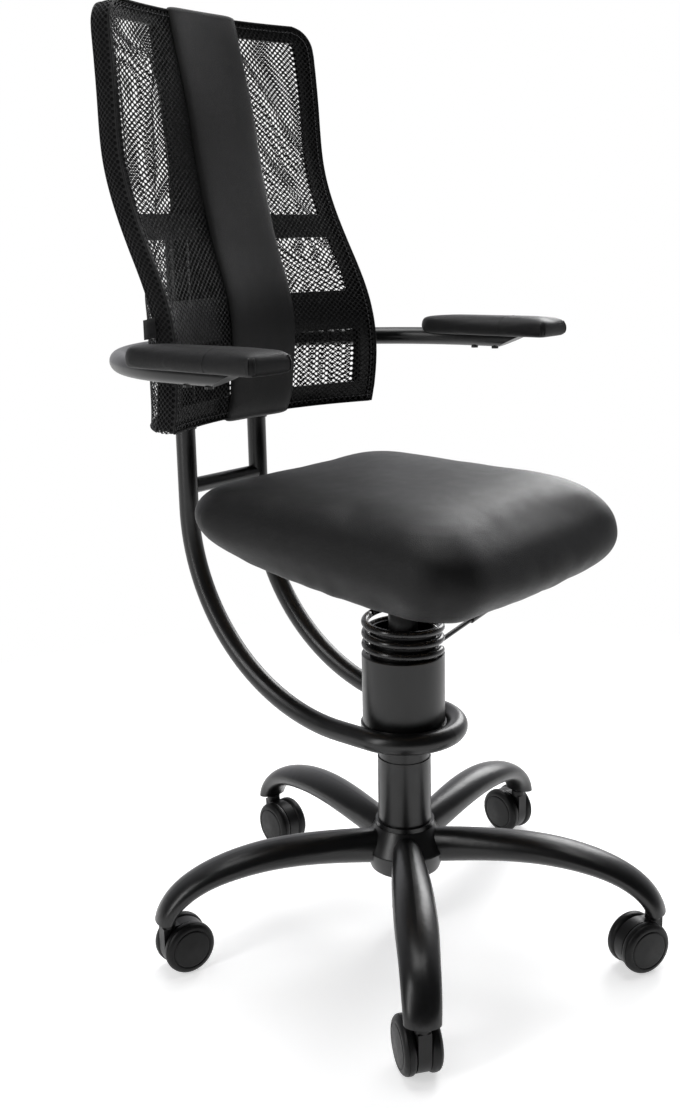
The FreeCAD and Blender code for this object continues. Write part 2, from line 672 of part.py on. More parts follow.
def spring_along(t):
    a = radians(SPRING_START_DEG) - 2 * pi * t
    climb = SPRING_PITCH + 2 * SPRING_OPEN_RISE * max(0.0, t - SPRING_OPEN_FROM)
    along = V(2 * pi * SPRING_R * sin(a), -2 * pi * SPRING_R * cos(a), climb)
    along.normalize()
    return along


spring_edges = []
quarters = int(round(SPRING_TURNS * QUARTERS_PER_TURN))
for k in range(quarters):
    t0 = k / QUARTERS_PER_TURN
    t1 = (k + 1) / QUARTERS_PER_TURN
    spring_edges += biarc(spring_point(t0), spring_along(t0), spring_point(t1), spring_along(t1))
save("spring", tube_along(spring_edges, spring_point(0), spring_along(0), WIRE_R))
steps = [k / 48.0 for k in range(int(SPRING_TURNS * 48) + 1)]
least = min(
    (spring_point(a) - spring_point(b)).Length
    for a in steps for b in steps if b - a > 0.5
) - 2 * WIRE_R
print("least gap of the spring to itself: %.2f mm" % least)

# seat hub over the spring, plate, bolts, pan and cushion
hub_low = spring_z(quarters / QUARTERS_PER_TURN) + WIRE_R + SEAT_GAP
post = cylinder(POST_R, bridge_top - 1, hub_low - SLIDE_GAP)
save("seat_post", upper_ears.fuse(bridge).fuse(post).removeSplitter())
flange_top = hub_low + HUB_FLANGE_THICK
seat_hub = cylinder(HUB_FLANGE_R, hub_low, flange_top)
seat_hub = seat_hub.fuse(cylinder(HUB_BOSS_R, flange_top - 1, SEAT_PLATE_Z - SLIDE_GAP)).removeSplitter()
save("seat_hub", seat_hub)
plate_high = SEAT_PLATE_Z + SEAT_PLATE_THICK
pan_low = plate_high + SLIDE_GAP
pan_high = pan_low + SEAT_PAN_THICK
seat_plate = rounded_plate(SEAT_PLATE_X, SEAT_PLATE_Y, SEAT_PLATE_CORNER, SEAT_PLATE_Z, plate_high)
seat_pan = rounded_plate(SEAT_PAN_X, SEAT_PAN_Y, SEAT_PAN_CORNER, pan_low, pan_high)
bolts = []
for bx in (-SEAT_BOLT_X, SEAT_BOLT_X):
    for by in (-SEAT_BOLT_Y, SEAT_BOLT_Y):
        bolt_top = SEAT_PLATE_Z + SEAT_BOLT_LENGTH
        head_top = SEAT_PLATE_Z - SLIDE_GAP
        shank = cylinder(SEAT_BOLT_R, head_top - 1, bolt_top, bx, by)
        head = cylinder(SEAT_BOLT_HEAD_R, head_top - SEAT_BOLT_HEAD, head_top, bx, by)
        bolts.append(shank.fuse(head).removeSplitter())
        hole = cylinder(SEAT_BOLT_R + SLIDE_GAP, SEAT_PLATE_Z - 1, bolt_top + SLIDE_GAP, bx, by)
        seat_plate = seat_plate.cut(hole)
        seat_pan = seat_pan.cut(hole)
save("seat_plate", seat_plate)
save("seat_pan", seat_pan)
save("seat_bolts", *bolts)


def seat_outline(z, drawn_in, tip_deg):
    wire = rounded_outline(
        -SEAT_HALF_X + drawn_in, SEAT_HALF_X - drawn_in, SEAT_FRONT_Y + drawn_in,
        SEAT_REAR_Y - drawn_in, max(SEAT_CORNER_R - drawn_in / 2, SEAT_LEAST_CORNER), z
    )
    wire.rotate(V(0, (SEAT_FRONT_Y + SEAT_REAR_Y) / 2, z), V(1, 0, 0), tip_deg)
    return wire


cushion = Part.makeLoft([seat_outline(*step) for step in SEAT_STEPS], True, False, False, 2)
pocket = rounded_plate(
    SEAT_PAN_X + SEAT_GAP, SEAT_PAN_Y + SEAT_GAP, SEAT_PAN_CORNER + SEAT_GAP,
    pan_low - PAN_POCKET_DEPTH, pan_high + SLIDE_GAP
)
save("seat_cushion", cushion.cut(pocket))


# back cover
def bow(z, half, edge_y, middle_y, thick):
    """One cross-section of a bowed sheet, as a closed wire at height z."""
    a, b, c = V(-half, edge_y, z), V(0, middle_y, z), V(half, edge_y, z)
    d, e, f = (p + V(0, thick, 0) for p in (a, b, c))
    return Part.Wire([
        Part.Arc(a, b, c).toShape(), Part.makeLine(c, f), Part.Arc(f, e, d).toShape(), Part.makeLine(d, a)
    ])


def bow_y(x, half, edge_y, middle_y):
    """Where the arc over the section lies at this x."""
    sag = middle_y - edge_y
    r = (half ** 2 + sag ** 2) / (2 * sag)
    return middle_y - r + sqrt(r ** 2 - x ** 2)


def sheet(front_of, thick, draw_x=0.0):
    return Part.makeLoft([bow(s[0], s[1] - draw_x, *front_of(s), thick) for s in BACK_SECTIONS], True, False)


def front_line(s):
    return s[2], s[2] + s[3]


def rear_line(s):
    return s[2] + BACK_EDGE_DEPTH, s[4]


low = BACK_SECTIONS[0]
high = BACK_SECTIONS[-1]
socket_inner = LOOP_TUBE_R + SLIDE_GAP
armrest_z = PAD_BOTTOM_Z + ARMREST_SUNK - ARMREST_TUBE_R
socket_r = socket_inner + SOCKET_WALL
lug_low = armrest_z - LUG_HALF
lug_high = armrest_z + LUG_HALF
lug_y = UPRIGHT_Y + socket_r - 2
lug_gap = LUG_HALF + LUG_SLOT_GAP
front_most_y = min(s[2] for s in BACK_SECTIONS)
rear_most_y = max(s[4] for s in BACK_SECTIONS)
corner_x = high[1] - BACK_TOP_CORNER_R
corner_z = high[0] - BACK_TOP_CORNER_R


def upright_hole(side):
    """Room for one socket through the cover's underside."""
    foot_z = min(SOCKET_LOW_Z, low[0]) - BACK_EDGE_DEPTH
    return cylinder(socket_r + SEAT_GAP, foot_z, SOCKET_HIGH_Z, side * LOOP_R, UPRIGHT_Y)


def corner_block(side):
    """All that lies outside the middle of one top corner, right through the back."""
    x0, x1 = sorted((side * corner_x, side * 2 * high[1]))
    return box(x0, x1, front_most_y, 2 * rear_most_y, corner_z, 2 * high[0])


def corner_disc(side, r):
    foot = V(side * corner_x, front_most_y, corner_z)
    return Part.makeCylinder(r, 2 * rear_most_y, foot, V(0, 1, 0))


def round_top(shape):
    for side in (-1, 1):
        shape = shape.cut(corner_block(side).cut(corner_disc(side, BACK_TOP_CORNER_R)))
    return shape


mesh_front = round_top(sheet(front_line, MESH_THICK))
mesh_rear = round_top(sheet(rear_line, MESH_THICK))
for side in (-1, 1):
    mesh_rear = mesh_rear.cut(box(
        side * LOOP_R - lug_gap, side * LOOP_R + lug_gap, UPRIGHT_Y, UPRIGHT_Y + 60,
        lug_low - LUG_SLOT_GAP, lug_high + LUG_SLOT_GAP
    ))
save("mesh_front", mesh_front)
save("mesh_rear", mesh_rear)


def border_side(sign):
    wires = []
    for z, half, edge_y, sag, rear in BACK_SECTIONS:
        x0 = sign * (half + SEAT_GAP)
        x1 = sign * (half + SEAT_GAP + MESH_THICK)
        y1 = edge_y + BACK_EDGE_DEPTH + MESH_THICK
        corners = [V(x0, edge_y, z), V(x1, edge_y, z), V(x1, y1, z), V(x0, y1, z)]
        wires.append(Part.makePolygon(corners + corners[:1]))
    return Part.makeLoft(wires, True, False)


def depth_wire(s, z, grow=0.0):
    """The outline of the whole back at one height, from the front net to the rear one."""
    z0, half, edge_y, sag, rear = s
    half = half + grow
    back_y = edge_y + BACK_EDGE_DEPTH + MESH_THICK
    a, b, c = V(-half, edge_y, z), V(0, edge_y + sag, z), V(half, edge_y, z)
    d, e, f = V(-half, back_y, z), V(0, rear + MESH_THICK, z), V(half, back_y, z)
    return Part.Wire([
        Part.Arc(a, b, c).toShape(), Part.makeLine(c, f), Part.Arc(f, e, d).toShape(), Part.makeLine(d, a)
    ])


def border_end(s, z):
    return Part.Face(depth_wire(s, z)).extrude(V(0, 0, MESH_THICK))


def border_corner(side, depth):
    """The wall round one top corner."""
    wall = corner_disc(side, BACK_TOP_CORNER_R + SEAT_GAP + MESH_THICK)
    wall = wall.cut(corner_disc(side, BACK_TOP_CORNER_R + SEAT_GAP))
    return wall.common(corner_block(side)).common(depth)


grow = 2 * (SEAT_GAP + MESH_THICK)
depth = Part.makeLoft([
    depth_wire(BACK_SECTIONS[-2], BACK_SECTIONS[-2][0] - grow, grow), depth_wire(high, high[0], grow),
    depth_wire(high, high[0] + grow, grow)
], True, True)
arch = border_end(high, high[0] + SEAT_GAP)
for side in (-1, 1):
    arch = arch.cut(corner_block(side))
for side in (-1, 1):
    arch = arch.fuse(border_side(side).cut(corner_block(side))).fuse(border_corner(side, depth))
bottom_band = border_end(low, low[0] - SEAT_GAP - MESH_THICK)
for side in (-1, 1):
    bottom_band = bottom_band.cut(upright_hole(side))
save("mesh_border", arch, bottom_band)


# stamped inner frame: a bowed plate with three windows
def rim_line(s):
    return s[2] + RIM_BEHIND, s[2] + s[3] + RIM_BEHIND


rim = round_top(sheet(rim_line, RIM_THICK, RIM_INSET))
for z0, z1 in RIM_WINDOWS:
    wires = []
    for z in (z0, z1):
        near = min(BACK_SECTIONS, key=lambda s: abs(s[0] - z))
        half = near[1] - RIM_INSET - RIM_SIDE
        wires.append(Part.makePolygon([
            V(-half, front_most_y, z), V(half, front_most_y, z),
            V(half, rear_most_y, z), V(-half, rear_most_y, z), V(-half, front_most_y, z),
        ]))
    rim = rim.cut(Part.makeLoft(wires, True, True))
save("back_rim", rim)

# leather strip over the front, the top, the rear and the bottom
strip_back = STRIP_GAP + STRIP_THICK


def strip_section(s, edge_y, middle_y, shift):
    side_y = bow_y(STRIP_HALF, s[1], edge_y, middle_y)
    return bow(s[0], STRIP_HALF, side_y + shift, middle_y + shift, STRIP_THICK)


def strip_loft(line, shift):
    wires = [strip_section(s, *line(s), shift) for s in BACK_SECTIONS]
    return Part.makeLoft(wires, True, False)


band_top = high[0] + SEAT_GAP + MESH_THICK + STRIP_GAP
band_low = low[0] - SEAT_GAP - MESH_THICK - STRIP_GAP


def strip_end(s, z0, z1):
    """The part of the strip that folds over the cover's top or bottom."""
    front_side = bow_y(STRIP_HALF, s[1], *front_line(s)) - strip_back
    rear_side = bow_y(STRIP_HALF, s[1], *rear_line(s)) + MESH_THICK + strip_back
    front_mid = s[2] + s[3] - strip_back
    rear_mid = s[4] + MESH_THICK + strip_back
    a, b, c = V(-STRIP_HALF, front_side, z0), V(0, front_mid, z0), V(STRIP_HALF, front_side, z0)
    d, e, f = V(-STRIP_HALF, rear_side, z0), V(0, rear_mid, z0), V(STRIP_HALF, rear_side, z0)
    wire = Part.Wire([
        Part.Arc(a, b, c).toShape(), Part.makeLine(c, f), Part.Arc(f, e, d).toShape(), Part.makeLine(d, a)
    ])
    return wire, z1 - z0


def strip_wall(line, shift, s, z0, z1):
    """The short flat stretch that joins the strip's face to its fold."""
    wire = strip_section((z0,) + tuple(s[1:]), *line(s), shift)
    return Part.Face(wire).extrude(V(0, 0, z1 - z0))


strip = strip_loft(front_line, -strip_back).fuse(strip_loft(rear_line, MESH_THICK + STRIP_GAP))
for s, fold_low, fold_high, wall_low, wall_high in (
    (high, band_top, band_top + STRIP_THICK, high[0], band_top + STRIP_THICK),
    (low, band_low - STRIP_THICK, band_low, band_low - STRIP_THICK, low[0]),
):
    wire, thick = strip_end(s, fold_low, fold_high)
    strip = strip.fuse(Part.Face(wire).extrude(V(0, 0, thick)))
    strip = strip.fuse(strip_wall(front_line, -strip_back, s, wall_low, wall_high))
    strip = strip.fuse(strip_wall(rear_line, MESH_THICK + STRIP_GAP, s, wall_low, wall_high))
for side in (-1, 1):
    strip = strip.cut(upright_hole(side))
    strip = strip.cut(box(
        side * LOOP_R - lug_gap, side * LOOP_R + lug_gap, UPRIGHT_Y, UPRIGHT_Y + 60,
        lug_low - LUG_SLOT_GAP, lug_high + LUG_SLOT_GAP
    ))
save("back_strip", strip.removeSplitter())

# blank cloth tag at the right edge
tag_near = min(BACK_SECTIONS, key=lambda s: abs(s[0] - TAG_LOW_Z))
tag_x = -(tag_near[1] + SEAT_GAP * 2 + MESH_THICK + TAG_THICK)
tag_y = tag_near[2] + BACK_EDGE_DEPTH - TAG_LENGTH / 2
save("side_tag", box(tag_x, tag_x + TAG_THICK, tag_y, tag_y + TAG_LENGTH, TAG_LOW_Z, TAG_LOW_Z + TAG_HEIGHT))

# sockets on the uprights, welded to the inner frame by two blocks each
socket_shapes = []
lug_shapes = []
armrest_near = min(BACK_SECTIONS, key=lambda s: abs(s[0] - armrest_z))
armrest_rear_y = armrest_near[4] + MESH_THICK + strip_back + ARMREST_STRIP_GAP + ARMREST_TUBE_R
armrest_bend_y = armrest_rear_y - ARMREST_R
armrest_path = [
    Part.makeLine(V(-ARMREST_R, ARMREST_FRONT_Y, armrest_z), V(-ARMREST_R, armrest_bend_y, armrest_z)),
    Part.Arc(
        V(-ARMREST_R, armrest_bend_y, armrest_z),
        V(-ARMREST_R * s45, armrest_bend_y + ARMREST_R * s45, armrest_z),
        V(0, armrest_rear_y, armrest_z),
    ).toShape(),
    Part.Arc(
        V(0, armrest_rear_y, armrest_z),
        V(ARMREST_R * s45, armrest_bend_y + ARMREST_R * s45, armrest_z),
        V(ARMREST_R, armrest_bend_y, armrest_z),
    ).toShape(),
    Part.makeLine(V(ARMREST_R, armrest_bend_y, armrest_z), V(ARMREST_R, ARMREST_FRONT_Y, armrest_z)),
]
armrest_start = V(-ARMREST_R, ARMREST_FRONT_Y, armrest_z)
armrest_solid = tube_along(armrest_path, armrest_start, V(0, 1, 0), ARMREST_TUBE_R)
armrest_bore = tube_along(armrest_path, armrest_start, V(0, 1, 0), ARMREST_TUBE_R - ARMREST_WALL)


def below_bevel(sign, raised):
    """All that lies under the long bevel at one end of the tube."""
    x = sign * ARMREST_R - ARMREST_TUBE_R * 2
    slope = (PAD_BOTTOM_Z - armrest_z + ARMREST_TUBE_R) / ARMREST_BEVEL
    lift = raised * sqrt(1 + slope ** 2)
    foot = armrest_z - ARMREST_TUBE_R * 2
    front = ARMREST_FRONT_Y - ARMREST_TUBE_R
    top = PAD_BOTTOM_Z + lift + ARMREST_TUBE_R * slope
    corners = [V(x, front, foot), V(x, front + (top - foot) / slope, foot), V(x, front, top)]
    return Part.Face(Part.makePolygon(corners + corners[:1])).extrude(V(ARMREST_TUBE_R * 4, 0, 0))


for side in (-1, 1):
    armrest_solid = armrest_solid.cut(below_bevel(side, 0.0))
    armrest_bore = armrest_bore.cut(below_bevel(side, ARMREST_WALL))
armrest_tube = armrest_solid.cut(armrest_bore)
for side in (-1, 1):
    x = side * LOOP_R
    tube = cylinder(socket_r, SOCKET_LOW_Z, SOCKET_HIGH_Z, x, UPRIGHT_Y)
    for z in (BRACKET_LOW_Z, BRACKET_HIGH_Z):
        block = box(x - BRACKET_HALF, x + BRACKET_HALF, front_most_y, UPRIGHT_Y, z, z + BRACKET_HEIGHT)
        block = block.cut(rim)
        tube = tube.fuse(max(block.Solids, key=lambda s: s.CenterOfMass.y))
    through = cylinder(socket_inner, SOCKET_LOW_Z - 1, SOCKET_HIGH_Z + 1, x, UPRIGHT_Y)
    tube = tube.removeSplitter().cut(through)
    socket_shapes.append(max(tube.Solids, key=lambda s: s.Volume))
    lug = box(x - LUG_HALF, x + LUG_HALF, lug_y, lug_y + LUG_LENGTH, lug_low, lug_high)
    lug = lug.cut(cylinder(socket_r, SOCKET_LOW_Z, SOCKET_HIGH_Z, x, UPRIGHT_Y)).cut(armrest_solid)
    lug_shapes.append(min(lug.Solids, key=lambda s: s.CenterOfMass.y))
save("back_sockets", *socket_shapes)
save("armrest_lugs", *lug_shapes)


# armrest pads, with a channel for the tube
def pad_outline(rise_z, drawn_in, sign):
    z = PAD_BOTTOM_Z + rise_z
    inner = ARMREST_R - PAD_INNER + drawn_in
    outer = ARMREST_R + PAD_OUTER - drawn_in
    front = PAD_FRONT_Y + drawn_in
    rear = PAD_REAR_Y - drawn_in
    c = PAD_FRONT_CORNER
    s = c * (1 - s45)
    half = PAD_REAR_HALF - drawn_in / 2
    mid = ARMREST_R
    turn_y = rear - half
    points = [
        V(inner, front + c, z), V(inner + s, front + s, z), V(inner + c, front, z),
        V(outer - c, front, z), V(outer - s, front + s, z), V(outer, front + c, z),
        V(mid + half, turn_y, z), V(mid + half * s45, turn_y + half * s45, z), V(mid, rear, z),
        V(mid - half * s45, turn_y + half * s45, z), V(mid - half, turn_y, z),
    ]
    p = [V(sign * q.x, q.y, q.z) for q in points]
    return Part.Wire([
        Part.Arc(p[0], p[1], p[2]).toShape(), Part.makeLine(p[2], p[3]),
        Part.Arc(p[3], p[4], p[5]).toShape(), Part.makeLine(p[5], p[6]),
        Part.Arc(p[6], p[7], p[8]).toShape(), Part.Arc(p[8], p[9], p[10]).toShape(),
        Part.makeLine(p[10], p[0]),
    ])


screws = []
for sign, name in ((-1, "right"), (1, "left")):
    pad = Part.makeLoft([pad_outline(rise_z, d, sign) for rise_z, d in PAD_STEPS], True, False)
    channel = tube_along(armrest_path, armrest_start, V(0, 1, 0), ARMREST_TUBE_R + SEAT_GAP)
    x = sign * ARMREST_R
    groove_end = V(x, ARMREST_FRONT_Y - SEAT_GAP, armrest_z)
    groove = rod_between(groove_end, V(x, armrest_bend_y, armrest_z), ARMREST_TUBE_R + SEAT_GAP)
    pad = pad.cut(channel).cut(groove)
    for y in PAD_SCREW_Y:
        head_top = armrest_z - ARMREST_TUBE_R - SLIDE_GAP
        tip = head_top + PAD_SCREW_LENGTH
        head = cylinder(PAD_SCREW_HEAD_R, head_top - PAD_SCREW_HEAD, head_top, x, y)
        screw = cylinder(PAD_SCREW_R, head_top - 1, tip, x, y).fuse(head).removeSplitter()
        screws.append(screw)
        hole = cylinder(PAD_SCREW_R + SLIDE_GAP, head_top - 1, tip + SLIDE_GAP, x, y)
        pad = pad.cut(hole)
        armrest_tube = armrest_tube.cut(hole)
    pad = max(pad.Solids, key=lambda s: s.Volume)
    save("armrest_pad_%s" % name, pad)
save("armrest_tube", armrest_tube)
save("pad_screws", *screws)
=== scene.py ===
import json
from math import cos, exp, pi, radians, sin, sqrt

import bmesh
import bpy
import numpy as np
from mathutils import Matrix, Vector, noise
from mathutils.bvhtree import BVHTree


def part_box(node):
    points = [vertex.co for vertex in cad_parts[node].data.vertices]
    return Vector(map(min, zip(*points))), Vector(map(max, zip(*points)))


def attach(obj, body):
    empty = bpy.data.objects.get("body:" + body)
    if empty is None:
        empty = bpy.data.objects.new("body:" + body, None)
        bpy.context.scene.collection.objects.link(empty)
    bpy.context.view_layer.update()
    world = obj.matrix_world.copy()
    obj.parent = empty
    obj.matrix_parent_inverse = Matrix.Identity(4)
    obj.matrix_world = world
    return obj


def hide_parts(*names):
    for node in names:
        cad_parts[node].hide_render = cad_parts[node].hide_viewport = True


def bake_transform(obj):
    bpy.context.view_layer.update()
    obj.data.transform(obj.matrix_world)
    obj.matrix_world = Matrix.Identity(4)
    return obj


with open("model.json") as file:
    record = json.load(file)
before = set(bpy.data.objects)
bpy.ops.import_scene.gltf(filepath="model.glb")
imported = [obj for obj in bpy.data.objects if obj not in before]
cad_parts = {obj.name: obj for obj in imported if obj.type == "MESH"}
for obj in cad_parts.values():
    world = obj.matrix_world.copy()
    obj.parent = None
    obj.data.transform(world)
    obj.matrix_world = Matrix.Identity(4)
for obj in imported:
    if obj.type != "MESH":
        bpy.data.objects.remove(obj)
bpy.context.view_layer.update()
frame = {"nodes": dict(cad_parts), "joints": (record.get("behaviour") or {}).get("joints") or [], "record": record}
nodes = frame["nodes"]
slots = {row["node"]: row["material_slot"] for row in frame["record"]["subparts"]}
joints = {joint["name"]: joint for joint in frame["joints"]}
scene = bpy.context.scene

# camera of the photograph, metres and degrees
CAMERA_PLACE = Vector((-1.1278, -0.8563, 0.8412))
CAMERA_HEADING = 40.69
CAMERA_DOWN = 12.39
CAMERA_ROLL = -1.33
CAMERA_LENS = 40.185
CAMERA_SHIFT = (0.0106, -0.0355)

# net of the back: distance between holes along and between rows, yarn thickness, inner edge under the strip
NET_PITCH = 0.008
NET_ROW = 0.0034
NET_THICK = 0.0006
NET_INNER = 0.050
NET_CELL = ((0.4306, 0), (0.0694, 1), (-0.0694, 1), (-0.4306, 0), (-0.0694, -1), (0.0694, -1))
NET_HOLE = (
    (0.322, 0.0), (0.152, 0.608), (-0.152, 0.608), (-0.322, 0.0), (-0.152, -0.608), (0.152, -0.608)
)
EDGE_INSET = 0.0006
BORDER_OUT = 0.0009
BORDER_BULGE = 0.0030
BORDER_COLUMNS = 4
LINING_IN = 0.0012
LINING_THICK = 0.0004
HEM_R = 0.0012
HEM_STEP = 0.004
STITCH_INSET = 0.0065
STITCH_PITCH = 0.0048
STITCH_LONG = 0.0030
STITCH_R = 0.00045

# folds of the rear net: side, two ends across and up the panel, depth, half width;
# they fade out towards the panel's edges
REAR_FOLDS = (
    (1, (0.05, 0.99), (0.85, 0.66), 0.016, 0.0150),
    (1, (0.00, 0.84), (0.80, 0.50), 0.016, 0.0140),
    (1, (0.10, 0.62), (0.90, 0.44), 0.014, 0.0130),
    (1, (0.42, 0.45), (0.95, 0.36), 0.012, 0.0120),
    (1, (0.45, 0.33), (0.95, 0.24), 0.010, 0.0110),
    (-1, (0.90, 0.96), (0.25, 0.86), 0.015, 0.0150),
    (-1, (0.25, 0.88), (0.45, 0.48), 0.016, 0.0150),
    (-1, (0.75, 0.86), (0.80, 0.50), 0.014, 0.0130),
    (-1, (0.45, 0.42), (0.90, 0.34), 0.012, 0.0120)
)
FOLD_FADE_ACROSS = 8
FOLD_FADE_UP = 12

# strip down the middle of the back; its foot is narrower below these heights
STRIP_HALF = 0.057
STRIP_REAR_HALF = 0.048
STRIP_AT_SOCKET = 0.048
STRIP_THICK = 0.0020
STRIP_PROUD = 0.0013
STRIP_CORNER = 0.005
STRIP_COLUMNS = 25
STRIP_FOOT_Z = (0.640, 0.660)

# tag in the side seam: reach, slant to the rear, droop, opening of its loop
TAG_REACH = 0.013
TAG_SLANT = 0.45
TAG_DROOP = 0.20
TAG_OPEN = 0.0012
TAG_THICK = 0.0006

# spring: coil and wire radius, start, turns, rise of one turn, height of its foot
SPRING_R = 0.0455
SPRING_WIRE_R = 0.0045
SPRING_START = 301.0
SPRING_TURNS = 3.25
SPRING_RISE = 0.0136
SPRING_OPEN_FROM = 2.4
SPRING_OPENING = 0.030
SPRING_SPLIT_TURN = 2.56
SPRING_SHARED = 0.004

# casters: the turned outline of a wheel, outside first (along the axle, radius)
WHEEL_OUTLINE = (
    (0.00700, 0.0060), (0.00690, 0.0066), (0.00690, 0.0205), (0.00670, 0.0217),
    (0.00600, 0.0223), (0.00580, 0.0228), (0.00600, 0.0233), (0.00650, 0.0237), (0.00660, 0.0243),
    (0.00620, 0.0262), (0.00540, 0.0279), (0.00430, 0.0292), (0.00310, 0.0301), (0.00200, 0.0306),
    (0.00190, 0.0302), (0.00130, 0.0302), (0.00120, 0.0308), (0.00000, 0.0310), (-0.00150, 0.0310),
    (-0.00300, 0.0309), (-0.00440, 0.0305), (-0.00550, 0.0298), (-0.00640, 0.0287), (-0.00690, 0.0270),
    (-0.00690, 0.0110), (-0.00700, 0.0105)
)
WHEEL_SIDES = 72

# soft parts: the swelling cloth, then the seat and the armrest pads
SWELL_PRESSURE = 4.0
SWELL_FRAMES = 20
SEAT_VOXEL = 0.0055
SEAT_SHRINK = (0.990, 0.990, 0.980)
SEAT_CAP = 0.0045
SEAT_FRONT_DROP = 0.008
SEAT_FRONT_REACH = 0.12
SEAT_PUSH = Vector((0.001, 0.013))
SEAT_FULL_AT = 0.30
SEAT_FULL_OVER = 0.24
SEAT_POCKET_GAP = 0.012
SEAT_POCKET_UP = 0.008
SEAT_EVEN = 14
TUCK_FROM = 0.14
TUCK_DEPTH = 0.0013
PAD_VOXEL = 0.0030
PAD_CAP = 0.0025
PAD_EVEN = 3
PAD_HELD = 0.003
PAD_SHRINK = (0.97, 0.985, 0.94)
PAD_SEAM_R = 0.0008
PAD_CROSS_SEAM_Y = 0.021
PAD_CORNER = 0.012

# studio: lamps (name, degrees right of the camera, height over the target, distance, size, watts)
LAMPS = (
    ("softbox_left", -52.0, 0.7, 2.0, (0.4, 1.8), 17.0),
    ("softbox_right", 150.0, 0.9, 2.0, (0.9, 1.4), 27.0),
    ("softbox_top", 180.0, 2.3, 0.4, (1.8, 1.8), 50.0)
)
LAMP_TARGET = Vector((0.0, 0.05, 0.55))
SKY_STOPS = ((0.0, 0.05), (0.5, 0.10), (0.8, 0.8), (1.0, 1.0))
SKY_STRENGTH = 0.8
FLOOR_REACH = 12.0
FLOOR_GREY = 0.82
FLOOR_GLOW = 0.55
FLOOR_FADE = (0.45, 1.3)
WHITE = (1.0, 1.0, 1.0, 1.0)


def lerp(a, b, t):
    return a + (b - a) * t


def smooth_step(a, b, x):
    t = min(max((x - a) / (b - a), 0.0), 1.0)
    return t * t * (3 - 2 * t)


# materials
def node(tree, kind, inputs=None, **settings):
    made = tree.nodes.new("ShaderNode" + kind)
    for name, value in settings.items():
        setattr(made, name, value)
    for name, value in (inputs or {}).items():
        if isinstance(value, bpy.types.NodeSocket):
            tree.links.new(value, made.inputs[name])
        else:
            made.inputs[name].default_value = value
    return made


def ramp(tree, factor, *stops):
    """A colour ramp; each stop is its position and its colour."""
    made = node(tree, "ValToRGB", {"Fac": factor})
    elements = made.color_ramp.elements
    while len(elements) < len(stops):
        elements.new(0.5)
    for element, (position, colour) in zip(elements, stops):
        element.position = position
        element.color = (*colour, 1.0)
    return made.outputs["Color"]


def spread(tree, value, low, high, start=0.3, end=0.7):
    return node(tree, "MapRange", {
        "Value": value, "From Min": start, "From Max": end, "To Min": low, "To Max": high
    }).outputs["Result"]


def noise_at(tree, place, scale, detail=3.0):
    return node(tree, "TexNoise", {"Vector": place, "Scale": scale, "Detail": detail}).outputs["Fac"]


def stretched(tree, place, scale):
    return node(tree, "Mapping", {"Vector": place, "Scale": scale}).outputs["Vector"]


def added(tree, a, b, share):
    return node(tree, "Math", {0: a, 1: share, 2: b}, operation="MULTIPLY_ADD").outputs["Value"]


def peel_grain(tree, place):
    return added(tree, noise_at(tree, place, 2600.0, 1.0), noise_at(tree, place, 520.0, 2.0), 0.35)


def moulded_grain(tree, place):
    return noise_at(tree, place, 1900.0, 2.0)


def leather_grain(tree, place):
    pores = node(tree, "TexVoronoi", {"Vector": place, "Scale": 620.0}, feature="DISTANCE_TO_EDGE")
    flat = spread(tree, pores.outputs["Distance"], 0.0, 1.0, 0.0, 0.16)
    return added(tree, noise_at(tree, place, 210.0, 4.0), flat, 0.9)


def brushed_grain(tree, place):
    return noise_at(tree, stretched(tree, place, (1.0, 1.0, 0.03)), 2400.0, 2.0)


def yarn_grain(tree, place):
    twist = node(tree, "TexWave", {
        "Vector": place, "Scale": 420.0, "Distortion": 2.5, "Detail": 2.0, "Detail Scale": 2.0
    }, bands_direction="DIAGONAL")
    return added(tree, noise_at(tree, place, 2200.0, 2.0), twist.outputs["Fac"], 0.6)


def weave_grain(tree, place):
    across = node(tree, "TexWave", {"Vector": place, "Scale": 380.0}, bands_direction="Y")
    along = node(tree, "TexWave", {"Vector": place, "Scale": 380.0}, bands_direction="Z")
    return added(tree, across.outputs["Fac"], along.outputs["Fac"], 1.0)


def ply_grain(tree, place):
    return noise_at(tree, stretched(tree, place, (1.0, 0.06, 4.0)), 420.0, 4.0)


def make_material(name, grain, dark, light, rough, bump, mottle=14.0, **fixed):
    """Colour and roughness vary over the surface; the grain gives the bump (strength, depth)."""
    made = bpy.data.materials.new(name)
    made.use_nodes = True
    tree = made.node_tree
    shader = tree.nodes["Principled BSDF"]
    place = node(tree, "TexCoord").outputs["Object"]
    height = grain(tree, place)
    patches = added(tree, height, noise_at(tree, place, mottle, 5.0), 0.25)
    tree.links.new(ramp(tree, patches, (0.35, dark), (0.85, light)), shader.inputs["Base Color"])
    worn = noise_at(tree, place, mottle * 5.0, 4.0)
    tree.links.new(spread(tree, worn, *rough), shader.inputs["Roughness"])
    raised = node(tree, "Bump", {"Strength": bump[0], "Distance": bump[1], "Height": height})
    tree.links.new(raised.outputs["Normal"], shader.inputs["Normal"])
    for socket, value in fixed.items():
        shader.inputs[socket.replace("_", " ")].default_value = value
    return made


def grey(level, blue=1.04):
    return (level, level, level * blue)


